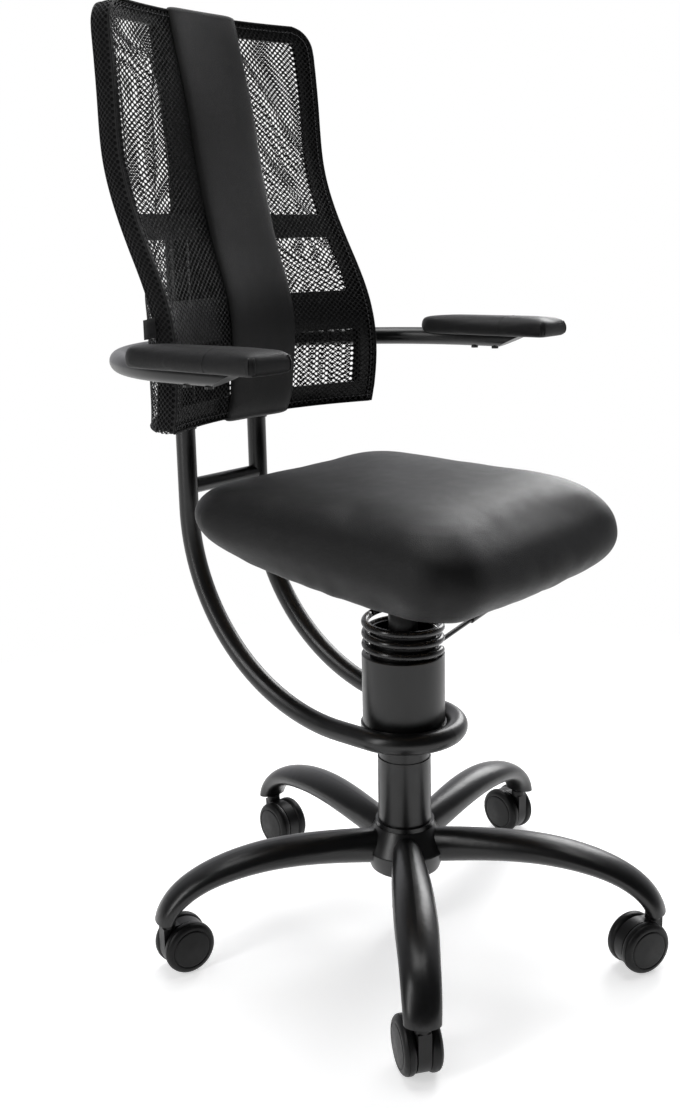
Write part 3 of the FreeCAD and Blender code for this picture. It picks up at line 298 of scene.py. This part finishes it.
finish = {
    "black_coat": make_material(
        "powder_coat", peel_grain, grey(0.003), grey(0.006), (0.29, 0.35), (0.05, 0.0001)
    ),
    "spring_coat": make_material(
        "spring_coat", peel_grain, grey(0.003), grey(0.006), (0.20, 0.30), (0.05, 0.0001), 30.0
    ),
    "bright_steel": make_material(
        "turned_steel", brushed_grain, grey(0.42), grey(0.60), (0.24, 0.38), (0.15, 0.0001), 40.0,
        Metallic=1.0
    ),
    "black_plastic": make_material(
        "moulded_plastic", moulded_grain, grey(0.003), grey(0.007), (0.34, 0.46), (0.15, 0.0001),
        Specular_IOR_Level=0.3
    ),
    "wheel_black": make_material(
        "wheel_rubber", moulded_grain, grey(0.003), grey(0.008), (0.38, 0.50), (0.14, 0.0001), 40.0,
        Specular_IOR_Level=0.25
    ),
    "ply": make_material(
        "plywood", ply_grain, (0.30, 0.19, 0.10), (0.52, 0.37, 0.22), (0.50, 0.65), (0.25, 0.0003)
    ),
    "black_leather": make_material(
        "leather", leather_grain, grey(0.003), grey(0.006), (0.45, 0.50), (0.30, 0.0004),
        Specular_IOR_Level=0.22
    ),
    "black_mesh": make_material(
        "net_yarn", yarn_grain, grey(0.002, 1.08), grey(0.006, 1.08), (0.55, 0.72), (0.35, 0.0003),
        Specular_IOR_Level=0.25
    ),
}
lining_cloth = make_material(
    "lining", weave_grain, grey(0.003), grey(0.006), (0.80, 0.92), (0.30, 0.0003), Specular_IOR_Level=0.2
)
thread = make_material("thread", yarn_grain, grey(0.05), grey(0.09), (0.55, 0.70), (0.40, 0.0002))
tag_cloth = make_material(
    "tag_cloth", weave_grain, grey(0.010), grey(0.022), (0.70, 0.85), (0.40, 0.0003)
)


def dress_frame():
    """Each CAD node gets its slot's finish; the screws under the pads are blackened."""
    for name, obj in nodes.items():
        obj.data.materials.clear()
        obj.data.materials.append(finish["black_coat" if name == "pad_screws" else slots[name]])


# pieces from points and faces
def piece(name, verts, faces, material, slot):
    mesh = bpy.data.meshes.new(name)
    mesh.from_pydata(verts, [], faces)
    mesh.materials.append(material)
    mesh.shade_smooth()
    made = bpy.data.objects.new(name, mesh)
    bpy.context.collection.objects.link(made)
    return made


def grid_faces(rows, columns, close_rows, close_columns, keep=lambda i, j: True):
    faces = []
    for i in range(rows if close_rows else rows - 1):
        for j in range(columns if close_columns else columns - 1):
            if keep(i, j):
                a, b = i * columns, (i + 1) % rows * columns
                k = (j + 1) % columns
                faces.append((a + j, a + k, b + k, b + j))
    return faces


def tube(points, radius, sides=8, closed=False):
    """Corners and faces of a round tube along a line of points."""
    count = len(points)
    verts = []
    side = None
    for i, point in enumerate(points):
        before = points[i - 1] if closed or i else point
        after = points[(i + 1) % count] if closed or i + 1 < count else point
        along = (after - before).normalized()
        side = side or along.orthogonal()
        side = (side - along * side.dot(along)).normalized()
        other = along.cross(side)
        for k in range(sides):
            turn = 2 * pi * k / sides
            verts.append(point + (side * cos(turn) + other * sin(turn)) * radius)
    faces = grid_faces(count, sides, closed, True)
    if not closed:
        faces.append(tuple(reversed(range(sides))))
        faces.append(tuple(range((count - 1) * sides, count * sides)))
    return verts, faces


def join_parts(parts):
    verts, faces = [], []
    for more_verts, more_faces in parts:
        base = len(verts)
        verts += more_verts
        faces += [tuple(base + k for k in face) for face in more_faces]
    return verts, faces


def surface(name):
    bm = bmesh.new()
    bm.from_mesh(nodes[name].data)
    tree = BVHTree.FromBMesh(bm)
    bm.free()
    return tree


# shape of the back, read from its CAD solids
front_skin = surface("mesh_front")
rear_skin = surface("mesh_rear")
back_low, back_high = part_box("mesh_front")
lug_low, lug_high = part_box("armrest_lugs")
socket_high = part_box("back_sockets")[1]
HOLE_REACH = 0.020
LUG_CLEAR = 0.002
SOCKET_R = 0.0145
SOCKET_CLEAR = 0.0022
SOCKET_HEM_OUT = 0.0020
FOOT_BAND = 0.004
SOCKET_AXES = [Vector((side * (socket_high.x - SOCKET_R), socket_high.y - SOCKET_R)) for side in (-1, 1)]
BACK_Z = np.linspace(back_low.z + EDGE_INSET, back_high.z - EDGE_INSET, 141)


def skin_y(skin, side, x, z):
    """Where a skin is met from the front (-1) or the rear (1); over a hole, between its rims."""
    def met(height):
        hit = skin.ray_cast(Vector((x, side, height)), Vector((0, -side, 0)))[0]
        return hit.y if hit else None

    here = met(z)
    if here is None:
        above, below = met(z + HOLE_REACH), met(z - HOLE_REACH)
        here = (above + below) / 2 if above and below else None
    return here


def front_y(x, z):
    return skin_y(front_skin, -1.0, x, z)


def rear_y(x, z):
    return skin_y(rear_skin, 1.0, x, z)


def half_at(z):
    low, high = 0.0, back_high.x + 0.001
    for _ in range(16):
        middle = (low + high) / 2
        seen = front_y(middle, z) and rear_y(middle, z)
        low, high = (middle, high) if seen else (low, middle)
    return low


BACK_HALF = np.array([half_at(z) for z in BACK_Z])


def half(z):
    return float(np.interp(z, BACK_Z, BACK_HALF))


def outline(step, inset=0.0):
    """Points (x, z) and outward directions once round the back, from the middle of its foot."""
    right = [(half(z), z) for z in BACK_Z]
    left = [(-x, z) for x, z in reversed(right)]
    corners = np.array([(0.0, BACK_Z[0])] + right + left + [(0.0, BACK_Z[0])])
    length = np.concatenate(([0.0], np.cumsum(np.linalg.norm(np.diff(corners, axis=0), axis=1))))
    count = 2 * round(length[-1] / step / 2)
    at = np.linspace(0.0, length[-1], count, endpoint=False)
    xz = np.stack([np.interp(at, length, corners[:, k]) for k in (0, 1)], axis=1)
    along = np.roll(xz, -1, axis=0) - np.roll(xz, 1, axis=0)
    out = np.stack([along[:, 1], -along[:, 0]], axis=1)
    out /= np.linalg.norm(out, axis=1)[:, None]
    return xz - out * inset, out


# net
def net(name, place, columns, rows, closed=False, skip=lambda point: False):
    """A net of staggered six-sided holes over the unit square that place maps to a surface."""
    verts, faces, flat, index = [], [], [], {}

    def corner(a, b):
        a = min(max(a, 0.0), columns)
        b = b % rows if closed else min(max(b, 0), rows)
        key = (round(a * 1000), round(b * 1000))
        if key not in index:
            index[key] = len(verts)
            verts.append(place(a / columns, b / rows))
            flat.append((a, b))
        return index[key]

    for j in range(rows if closed else rows + 1):
        shift = 0.5 if j % 2 == 0 else 0.0
        for i in range(columns if shift else columns + 1):
            a = i + shift
            if skip(place(a / columns, j / rows)):
                continue
            outer = [corner(a + x, j + y) for x, y in NET_CELL]
            if 0 < a < columns and (closed or 0 < j < rows):
                inner = [corner(a + x, j + y) for x, y in NET_HOLE]
                faces += [(outer[k - 1], outer[k], inner[k], inner[k - 1]) for k in range(6)]
            else:
                faces.append(tuple(dict.fromkeys(outer)))
    made = piece(name, verts, faces, finish["black_mesh"], "black_mesh")
    size = max(columns * NET_PITCH, rows * NET_ROW)
    layer = made.data.uv_layers.new(name="OFBake")
    for loop in made.data.loops:
        a, b = flat[loop.vertex_index]
        layer.data[loop.index].uv = (a * NET_PITCH / size, b * NET_ROW / size)
    thicken(made, NET_THICK)
    return made


def thicken(obj, depth):
    solid = obj.modifiers.new("thickness", "SOLIDIFY")
    solid.thickness = depth
    solid.offset = 0.0


def fold_depth(side, u, v, width, height):
    depth = 0.0
    for of_side, start, end, deep, wide in REAR_FOLDS:
        if of_side == side:
            a = Vector((start[0] * width, start[1] * height))
            b = Vector((end[0] * width, end[1] * height))
            p = Vector((u * width, v * height))
            t = min(max((p - a).dot(b - a) / (b - a).length_squared, 0.0), 1.0)
            away = (p - a.lerp(b, t)).length / wide
            depth += deep * exp(-away * away)
    fade = min(min(u, 1 - u) * FOLD_FADE_ACROSS, 1.0) * min(min(v, 1 - v) * FOLD_FADE_UP, 1.0)
    return depth * fade


def near_lug(point):
    r = (lug_high.z - lug_low.z) / 2
    away = Vector((abs(point.x) - (lug_high.x - r), point.z - (lug_low.z + r)))
    return away.length < r + LUG_CLEAR


def back_panel(name, side, depth_at, sign, folded):
    """One half of the front or rear net, from under the strip to the edge."""
    low, high = BACK_Z[0], BACK_Z[-1]
    width = BACK_HALF.max() - NET_INNER

    def place(u, v):
        z = lerp(low, high, v)
        x = side * lerp(NET_INNER, half(z) - EDGE_INSET, u)
        y = depth_at(x, z) + sign * NET_THICK
        if folded:
            y -= fold_depth(side, u, v, width, high - low)
        return Vector((x, y, z))

    columns = round(width / NET_PITCH)
    rows = 2 * round((high - low) / NET_ROW / 2)
    made = net(name, place, columns, rows, skip=near_lug if folded else lambda point: False)
    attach(made, "back")
    return made, (width, high - low)


def declare_net(made, size, nodes_replaced):
    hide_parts(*nodes_replaced)


def near_socket(point):
    if point.z > back_low.z + FOOT_BAND:
        return False
    return any((point.xy - axis).length < SOCKET_R + SOCKET_CLEAR for axis in SOCKET_AXES)


def border_place(xz, out, push, bulge):
    """Maps across the wall (u) and round the back (v) to the wall between the two nets."""
    count = len(xz)

    def place(u, v):
        at = v * count
        i, t = int(at) % count, at - int(at)
        k = (i + 1) % count
        x, z = xz[i] * (1 - t) + xz[k] * t
        n = out[i] * (1 - t) + out[k] * t
        inside_x, inside_z = x - n[0] * EDGE_INSET, z - n[1] * EDGE_INSET
        near = front_y(inside_x, inside_z)
        far = rear_y(inside_x, inside_z)
        away = push + bulge * abs(n[0]) * sin(pi * u)
        return Vector((x + n[0] * away, lerp(near, far, u), z + n[1] * away))

    return place


def make_border():
    xz, out = outline(NET_ROW)
    place = border_place(xz, out, BORDER_OUT, BORDER_BULGE)
    wall = net("back_border_net", place, BORDER_COLUMNS, len(xz), True, near_socket)
    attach(wall, "back")
    inner = border_place(xz, out, BORDER_OUT - LINING_IN, BORDER_BULGE)
    columns, rows = 5, len(xz) // 2
    verts = [inner(j / (columns - 1), i / rows) for i in range(rows) for j in range(columns)]
    faces = grid_faces(rows, columns, True, False)
    faces = [face for face in faces if not any(near_socket(verts[k]) for k in face)]
    lining = piece("back_border_lining", verts, faces, lining_cloth, "black_mesh")
    thicken(lining, LINING_THICK)
    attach(lining, "back")
    length = len(xz) * NET_ROW
    depth = sum((inner(1, i / 40) - inner(0, i / 40)).length for i in range(40)) / 40
    return wall, lining, (depth, length)


def make_hem():
    """Rolled seams along both edges of the wall, and round the two sockets."""
    xz, out = outline(HEM_STEP)
    wall = border_place(xz, out, BORDER_OUT, 0.0)
    lines = [[wall(u, i / len(xz)) for i in range(len(xz))] for u in (0, 1)]
    parts = [tube(line, HEM_R, 6, True) for line in lines]
    reach = SOCKET_R + SOCKET_HEM_OUT
    foot = back_low.z - BORDER_OUT
    for axis in SOCKET_AXES:
        turns = [2 * pi * k / 36 for k in range(36)]
        ring = [Vector((axis.x + reach * cos(a), axis.y + reach * sin(a), foot)) for a in turns]
        parts.append(tube(ring, HEM_R, 6, True))
    hem = piece("back_hem", *join_parts(parts), finish["black_mesh"], "black_mesh")
    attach(hem, "back")
    return hem


def make_stitches():
    xz, out = outline(STITCH_PITCH, STITCH_INSET)
    parts = []
    for (x, z), n in zip(xz, out):
        if abs(x) < STRIP_HALF:
            continue
        along = Vector((-n[1], 0.0, n[0])) * STITCH_LONG / 2
        ends = []
        for t in (-1.0, -0.7, 0.0, 0.7, 1.0):
            p = Vector((x, 0.0, z)) + along * t
            lift = STITCH_R * (0.4 if abs(t) == 1.0 else 1.2)
            ends.append(Vector((p.x, front_y(p.x, p.z) - lift, p.z)))
        parts.append(tube(ends, STITCH_R, 5))
    made = piece("back_stitches", *join_parts(parts), thread, "black_mesh")
    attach(made, "back")
    return made


# strip
def strip_half(y, z, behind):
    """Half width of the strip: narrower where the sockets pass and down the rear."""
    foot = 1 - smooth_step(*STRIP_FOOT_Z, z)
    near_foot = foot * (1 - smooth_step(SOCKET_R + 0.004, SOCKET_R + 0.018, abs(y - SOCKET_AXES[0].y)))
    front = STRIP_HALF - (STRIP_HALF - STRIP_AT_SOCKET) * near_foot
    return lerp(front, min(front, STRIP_REAR_HALF), behind)


def strip_loop(skin, x, low, high):
    """The strip's outer line (y, z) at this x, once round the back."""
    inset = STRIP_CORNER
    rise = np.linspace(low + inset, high - inset, 110)
    near = [skin.ray_cast(Vector((x, -1, z)), Vector((0, 1, 0)))[0].y for z in rise]
    far = [skin.ray_cast(Vector((x, 1, z)), Vector((0, -1, 0)))[0].y for z in rise]
    loop = list(zip(near, rise))
    loop += [(near[-1] + inset * (1 - cos(a)), high - inset + inset * sin(a)) for a in (0.4, 0.8, 1.2)]
    loop += [(y, high) for y in np.linspace(near[-1] + inset, far[-1] - inset, 8)]
    loop += [(far[-1] - inset * (1 - cos(a)), high - inset + inset * sin(a)) for a in (1.2, 0.8, 0.4)]
    loop += list(zip(far, rise))[::-1]
    loop += [(far[0] - inset * (1 - cos(a)), low + inset - inset * sin(a)) for a in (0.4, 0.8, 1.2)]
    loop += [(y, low) for y in np.linspace(far[0] - inset, near[0] + inset, 12)]
    loop += [(near[0] + inset * (1 - cos(a)), low + inset - inset * sin(a)) for a in (1.2, 0.8, 0.4)]
    return np.array(loop)


def make_strip():
    skin = surface("back_strip")
    low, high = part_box("back_strip")
    across = np.sin(np.linspace(-pi / 2, pi / 2, STRIP_COLUMNS))
    loops = [strip_loop(skin, s * (STRIP_AT_SOCKET - 0.001), low.z, high.z) for s in across]
    rows = len(loops[0])
    verts = []
    for i in range(rows):
        top, under = [], []
        for s, loop in zip(across, loops):
            y, z = loop[i]
            along = loop[(i + 1) % rows] - loop[i - 1]
            out = np.array((-along[1], along[0])) / np.linalg.norm(along)
            front = out[0] < -0.3
            round_off = sqrt(max(1 - abs(s) ** 8, 0.0))
            proud = STRIP_PROUD if front else 0.0
            height = (STRIP_THICK + proud) * round_off - STRIP_THICK
            x = s * strip_half(y, z, smooth_step(-0.8, 0.8, out[0]))
            top.append(Vector((x, y + out[0] * height, z + out[1] * height)))
            under.append(Vector((x, y - out[0] * STRIP_THICK, z - out[1] * STRIP_THICK)))
        verts += top + under[-2:0:-1]
    columns = len(verts) // rows
    faces = grid_faces(rows, columns, True, True)
    made = piece("back_strip_leather", verts, faces, finish["black_leather"], "black_leather")
    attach(made, "back")
    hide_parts("back_strip")
    middle = loops[STRIP_COLUMNS // 2]
    length = float(np.linalg.norm(np.diff(middle, axis=0, append=middle[:1]), axis=1).sum())


def make_back():
    sides = (("right", -1), ("left", 1))
    fronts = [back_panel(f"front_net_{word}", side, front_y, 1, False) for word, side in sides]
    rears = [back_panel(f"rear_net_{word}", side, rear_y, -1, True) for word, side in sides]
    wall, lining, size = make_border()
    hem, stitches = make_hem(), make_stitches()
    for made, flat in fronts:
        declare_net(made, flat, ["mesh_front"])
    for made, flat in rears:
        declare_net(made, flat, ["mesh_rear"])
    declare_net(wall, size, ["mesh_border"])
    make_strip()


def make_tag():
    """A small blank cloth loop sewn into the side seam."""
    low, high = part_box("side_tag")
    middle = (low + high) / 2
    rows, columns = 13, 5
    verts = []
    for i in range(rows):
        t = 2 * i / (rows - 1) - 1
        reach = TAG_REACH * (1 - abs(t)) + 0.0002
        open_y = TAG_OPEN * (1 - abs(t) ** 2) * (1 if i < rows / 2 else -1)
        for j in range(columns):
            s = j / (columns - 1)
            z = lerp(low.z, high.z, s) - TAG_DROOP * reach
            verts.append(Vector((high.x - 0.0005 - reach, middle.y + open_y + TAG_SLANT * reach, z)))
    faces = grid_faces(rows, columns, False, False)
    made = piece("side_tag_cloth", verts, faces, tag_cloth, "black_mesh")
    thicken(made, TAG_THICK)
    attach(made, "back")
    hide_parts("side_tag")


# spring
SPRING_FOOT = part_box("spring")[0].z + SPRING_WIRE_R


def spring_point(t):
    turn = radians(SPRING_START) - 2 * pi * t
    z = SPRING_FOOT + SPRING_RISE * t + SPRING_OPENING * max(0.0, t - SPRING_OPEN_FROM) ** 2
    return Vector((SPRING_R * cos(turn), SPRING_R * sin(turn), z))


def make_spring():
    split = spring_point(SPRING_SPLIT_TURN).z
    low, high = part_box("spring")
    halves = (
        ("spring_lower", 0.0, SPRING_SPLIT_TURN, ("carrier", "cross"), low.z, split - SPRING_SHARED),
        ("spring_upper", SPRING_SPLIT_TURN, SPRING_TURNS, ("cross", "seat"), split + SPRING_SHARED, high.z),
    )
    for name, first, last, bodies, start, end in halves:
        count = round((last - first) * 72)
        line = [spring_point(lerp(first, last, i / count)) for i in range(count + 1)]
        made = piece(name, *tube(line, SPRING_WIRE_R, 18), finish["spring_coat"], "spring_coat")
        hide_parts("spring")
        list(bodies)
        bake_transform(made)


# casters
def lathe(outline_points, centre, axis):
    side = axis.orthogonal().normalized()
    other = axis.cross(side)
    verts = []
    for along, radius in outline_points:
        for k in range(WHEEL_SIDES):
            turn = 2 * pi * k / WHEEL_SIDES
            verts.append(centre + axis * along + (side * cos(turn) + other * sin(turn)) * radius)
    faces = grid_faces(len(outline_points), WHEEL_SIDES, False, True)
    faces.append(tuple(reversed(range(WHEEL_SIDES))))
    faces.append(tuple(range(len(verts) - WHEEL_SIDES, len(verts))))
    return verts, faces


def make_wheels():
    for name, joint in joints.items():
        if not name.startswith("roll_"):
            continue
        body = joint["child"]
        pivot, axis = Vector(joint["pos_m"]), Vector(joint["axis"]).normalized()
        along = [(v.co - pivot).dot(axis) for v in nodes[body].data.vertices]
        off = (min(along) + max(along)) / 2
        if off < 0:
            axis, off = -axis, -off
        turned = lathe(WHEEL_OUTLINE[::-1], pivot + axis * off, axis)
        made = piece(body + "_turned", *turned, finish["wheel_black"], "wheel_black")
        made.data.set_sharp_from_angle(angle=radians(40))
        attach(made, body)
        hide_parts(body)


# padded parts
def evaluated(obj):
    bpy.context.view_layer.update()
    shown = obj.evaluated_get(bpy.context.evaluated_depsgraph_get())
    return bpy.data.meshes.new_from_object(shown)


def take_mesh(obj, mesh):
    old = obj.data
    obj.modifiers.clear()
    obj.data = mesh
    bpy.data.meshes.remove(old)


def remeshed(name, node_name, voxel, shrink):
    """A copy of a CAD solid with even faces, drawn in a little round its middle."""
    low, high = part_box(node_name)
    middle = (low + high) / 2
    mesh = nodes[node_name].data.copy()
    drawn_in = Matrix.Diagonal((*shrink, 1.0))
    mesh.transform(Matrix.Translation(middle) @ drawn_in @ Matrix.Translation(-middle))
    obj = bpy.data.objects.new(name, mesh)
    bpy.context.collection.objects.link(obj)
    even = obj.modifiers.new("even", "REMESH")
    even.mode = "VOXEL"
    even.voxel_size = voxel
    take_mesh(obj, evaluated(obj))
    return obj


def swell(obj, pinned, cap):
    """Inflates the piece as cloth round its fixed points, each point moving no further than the cap."""
    rest = [v.co.copy() for v in obj.data.vertices]
    group = obj.vertex_groups.new(name="held")
    group.add([i for i, co in enumerate(rest) if pinned(co)], 1.0, "REPLACE")
    cloth = obj.modifiers.new("cloth", "CLOTH")
    cloth.settings.use_pressure = True
    cloth.settings.uniform_pressure_force = SWELL_PRESSURE
    cloth.settings.vertex_group_mass = "held"
    cloth.settings.effector_weights.gravity = 0.0
    cloth.point_cache.frame_end = SWELL_FRAMES
    for f in range(1, SWELL_FRAMES + 1):
        scene.frame_set(f)
    take_mesh(obj, evaluated(obj))
    scene.frame_set(1)
    for v, start in zip(obj.data.vertices, rest):
        move = v.co - start
        v.co = start + move * (cap / max(move.length, cap))


def even_out(obj, times):
    bm = bmesh.new()
    bm.from_mesh(obj.data)
    for _ in range(times):
        bmesh.ops.smooth_vert(
            bm, verts=bm.verts, factor=0.5, use_axis_x=True, use_axis_y=True, use_axis_z=True
        )
    bm.to_mesh(obj.data)
    bm.free()


def finish_soft(obj, body, node_name):
    obj.data.materials.clear()
    obj.data.materials.append(finish["black_leather"])
    obj.data.shade_smooth()
    finer = obj.modifiers.new("finer", "SUBSURF")
    finer.levels = finer.render_levels = 1
    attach(obj, body)
    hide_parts(node_name)


def make_cushion():
    low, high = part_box("seat_cushion")
    pan_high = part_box("seat_pan")[1]
    obj = remeshed("seat_cushion_leather", "seat_cushion", SEAT_VOXEL, SEAT_SHRINK)
    pocket = pan_high.xy + Vector((SEAT_POCKET_GAP, SEAT_POCKET_GAP))

    def held(co):
        return abs(co.x) < pocket.x and abs(co.y) < pocket.y and co.z < pan_high.z + SEAT_POCKET_UP

    swell(obj, held, SEAT_CAP)
    even_out(obj, SEAT_EVEN)
    shape_cushion(obj, low, high)
    gather(obj, low, high)
    finish_soft(obj, "seat", "seat_cushion")


def shape_cushion(obj, low, high):
    """The worn-in form: a rounder front edge, and sides fullest below the middle."""
    middle = (low + high) / 2
    reach = (high - low) / 2
    for v in obj.data.vertices:
        up = (v.co.z - low.z) / (high.z - low.z)
        front = 1 - smooth_step(0.0, SEAT_FRONT_REACH, v.co.y - low.y)
        v.co.z -= SEAT_FRONT_DROP * front * smooth_step(0.5, 0.85, up)
        across = Vector((v.co.x / reach.x, (v.co.y - middle.y) / reach.y))
        edge = max(abs(across.x), abs(across.y))
        push = smooth_step(0.75, 1.0, edge) * exp(-((up - SEAT_FULL_AT) / SEAT_FULL_OVER) ** 2)
        away = across.normalized() * SEAT_PUSH * push
        v.co.x += away.x
        v.co.y += away.y


def gather(obj, low, high):
    """Small tucks where the leather is drawn under the seat."""
    middle = (low + high) / 2
    obj.data.update()
    normals = [n.vector.copy() for n in obj.data.vertex_normals]
    for v, n in zip(obj.data.vertices, normals):
        if n.z < -0.15 and (abs(v.co.x) > TUCK_FROM or abs(v.co.y) > TUCK_FROM):
            around = Vector((v.co.x, v.co.y - middle.y)).normalized()
            ripple = noise.noise(Vector((around.x * 8.0, around.y * 8.0, 0.3)))
            v.co += n * TUCK_DEPTH * ripple * smooth_step(0.15, 0.6, -n.z)


def make_pad(word):
    node_name = "armrest_pad_" + word
    low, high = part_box(node_name)
    obj = remeshed(node_name + "_leather", node_name, PAD_VOXEL, PAD_SHRINK)
    swell(obj, lambda co: co.z < low.z + PAD_HELD, PAD_CAP)
    even_out(obj, PAD_EVEN)
    for v in obj.data.vertices:
        v.co.z = max(v.co.z, low.z)
    finish_soft(obj, "back", node_name)
    pad_seams(obj, word, low, high)


def pad_seams(obj, word, low, high):
    """Welts down the front corners and one across the pad."""
    bm = bmesh.new()
    bm.from_mesh(obj.data)
    skin = BVHTree.FromBMesh(bm)
    bm.free()
    middle = (low + high) / 2
    parts = []
    for side in (-1, 1):
        for turn in (-62, -28):
            out = Vector((side * cos(radians(turn)), sin(radians(turn)), 0.0))
            foot_x = middle.x + side * ((high.x - low.x) / 2 - PAD_CORNER)
            line = []
            for z in np.linspace(low.z + 0.004, high.z - 0.005, 12):
                start = Vector((foot_x, low.y + PAD_CORNER, z)) + out * 0.05
                hit = skin.ray_cast(start, -out)[0]
                line.append(hit + out * PAD_SEAM_R * 0.1)
            parts.append(tube(line, PAD_SEAM_R, 8))
    line = []
    for turn in np.linspace(-20, 200, 60):
        out = Vector((cos(radians(turn)), 0.0, sin(radians(turn))))
        start = Vector((middle.x, PAD_CROSS_SEAM_Y, middle.z)) + out * 0.08
        hit = skin.ray_cast(start, -out)[0]
        line.append(hit - out * PAD_SEAM_R * 0.35)
    parts.append(tube(line, PAD_SEAM_R * 0.7, 8))
    welts = join_parts(parts)
    made = piece(f"armrest_pad_{word}_seams", *welts, finish["black_leather"], "black_leather")
    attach(made, "back")


# studio
def make_camera():
    heading, down = radians(CAMERA_HEADING), radians(-CAMERA_DOWN)
    forward = Vector((cos(heading) * cos(down), sin(heading) * cos(down), sin(down)))
    right = Vector((sin(heading), -cos(heading), 0.0))
    up = right.cross(forward)
    turned = Matrix((right, up, -forward)).transposed() @ Matrix.Rotation(radians(CAMERA_ROLL), 3, "Z")
    data = bpy.data.cameras.new("camera")
    data.lens = CAMERA_LENS
    data.sensor_width = 36.0
    data.shift_x, data.shift_y = CAMERA_SHIFT
    made = bpy.data.objects.new("camera", data)
    made.matrix_world = Matrix.Translation(CAMERA_PLACE) @ turned.to_4x4()
    scene.collection.objects.link(made)
    scene.camera = made


def softbox(name, towards, height, distance, size, power):
    """A lamp (width, length); towards is degrees to the right of the camera as seen from the chair."""
    turn = radians(CAMERA_HEADING + 180 + towards)
    place = LAMP_TARGET + Vector((cos(turn) * distance, sin(turn) * distance, height))
    data = bpy.data.lights.new(name, "AREA")
    data.shape = "RECTANGLE"
    data.size, data.size_y = size
    data.energy = power
    made = bpy.data.objects.new(name, data)
    made.location = place
    made.rotation_euler = (LAMP_TARGET - place).to_track_quat("-Z", "Y").to_euler()
    scene.collection.objects.link(made)


def either_ray(tree, first, second):
    path = node(tree, "LightPath").outputs
    return node(tree, "Math", {0: path[first], 1: path[second]}, operation="MAXIMUM").outputs["Value"]


def make_world():
    world = bpy.data.worlds.new("studio")
    world.use_nodes = True
    tree = world.node_tree
    tree.nodes.clear()
    direction = node(tree, "TexCoord").outputs["Generated"]
    heading = radians(CAMERA_HEADING)
    behind = (cos(heading), sin(heading), 0.0)
    facing = node(tree, "VectorMath", {0: direction, 1: behind}, operation="DOT_PRODUCT")
    side = spread(tree, facing.outputs["Value"], 0.0, 1.0, -1.0, 1.0)
    sky = ramp(tree, side, *((position, grey(level)) for position, level in SKY_STOPS))
    around = node(tree, "Background", {"Color": sky, "Strength": SKY_STRENGTH})
    seen = node(tree, "Background", {"Color": WHITE, "Strength": 1.0})
    direct = either_ray(tree, "Is Camera Ray", "Is Transmission Ray")
    both = node(tree, "MixShader", {0: direct, 1: around.outputs[0], 2: seen.outputs[0]})
    node(tree, "OutputWorld", {"Surface": both.outputs[0]})
    scene.world = world


def make_floor():
    """A pale floor that keeps the shadows near the chair and fades to white further out."""
    mesh = bpy.data.meshes.new("floor")
    corners = [(x * FLOOR_REACH, y * FLOOR_REACH, 0) for x, y in ((-1, -1), (1, -1), (1, 1), (-1, 1))]
    mesh.from_pydata(corners, [], [(0, 1, 2, 3)])
    floor = bpy.data.objects.new("floor", mesh)
    scene.collection.objects.link(floor)
    paint = bpy.data.materials.new("floor_paint")
    paint.use_nodes = True
    tree = paint.node_tree
    tree.nodes.clear()
    place = node(tree, "TexCoord").outputs["Object"]
    away = node(tree, "VectorMath", {0: place}, operation="LENGTH").outputs["Value"]
    far = spread(tree, away, 0.0, 1.0, *FLOOR_FADE)
    lit = node(tree, "BsdfDiffuse", {"Color": (*grey(FLOOR_GREY, 1.0), 1.0)})
    seen = either_ray(tree, "Is Camera Ray", "Is Glossy Ray")
    lift = node(tree, "Math", {0: seen, 1: FLOOR_GLOW}, operation="MULTIPLY").outputs["Value"]
    glow = node(tree, "Emission", {"Color": WHITE, "Strength": lift})
    near = node(tree, "AddShader", {0: lit.outputs[0], 1: glow.outputs[0]})
    white = node(tree, "Emission", {"Color": WHITE, "Strength": 1.0})
    share = node(tree, "Math", {0: seen, 1: far}, operation="MULTIPLY").outputs["Value"]
    whole = node(tree, "MixShader", {0: share, 1: near.outputs[0], 2: white.outputs[0]})
    node(tree, "OutputMaterial", {"Surface": whole.outputs[0]})
    mesh.materials.append(paint)


def make_studio():
    scene.view_settings.view_transform = "Standard"
    make_camera()
    make_world()
    make_floor()
    for lamp in LAMPS:
        softbox(*lamp)


dress_frame()
make_back()
make_tag()
make_spring()
make_wheels()
make_cushion()
for word in ("left", "right"):
    make_pad(word)
make_studio()
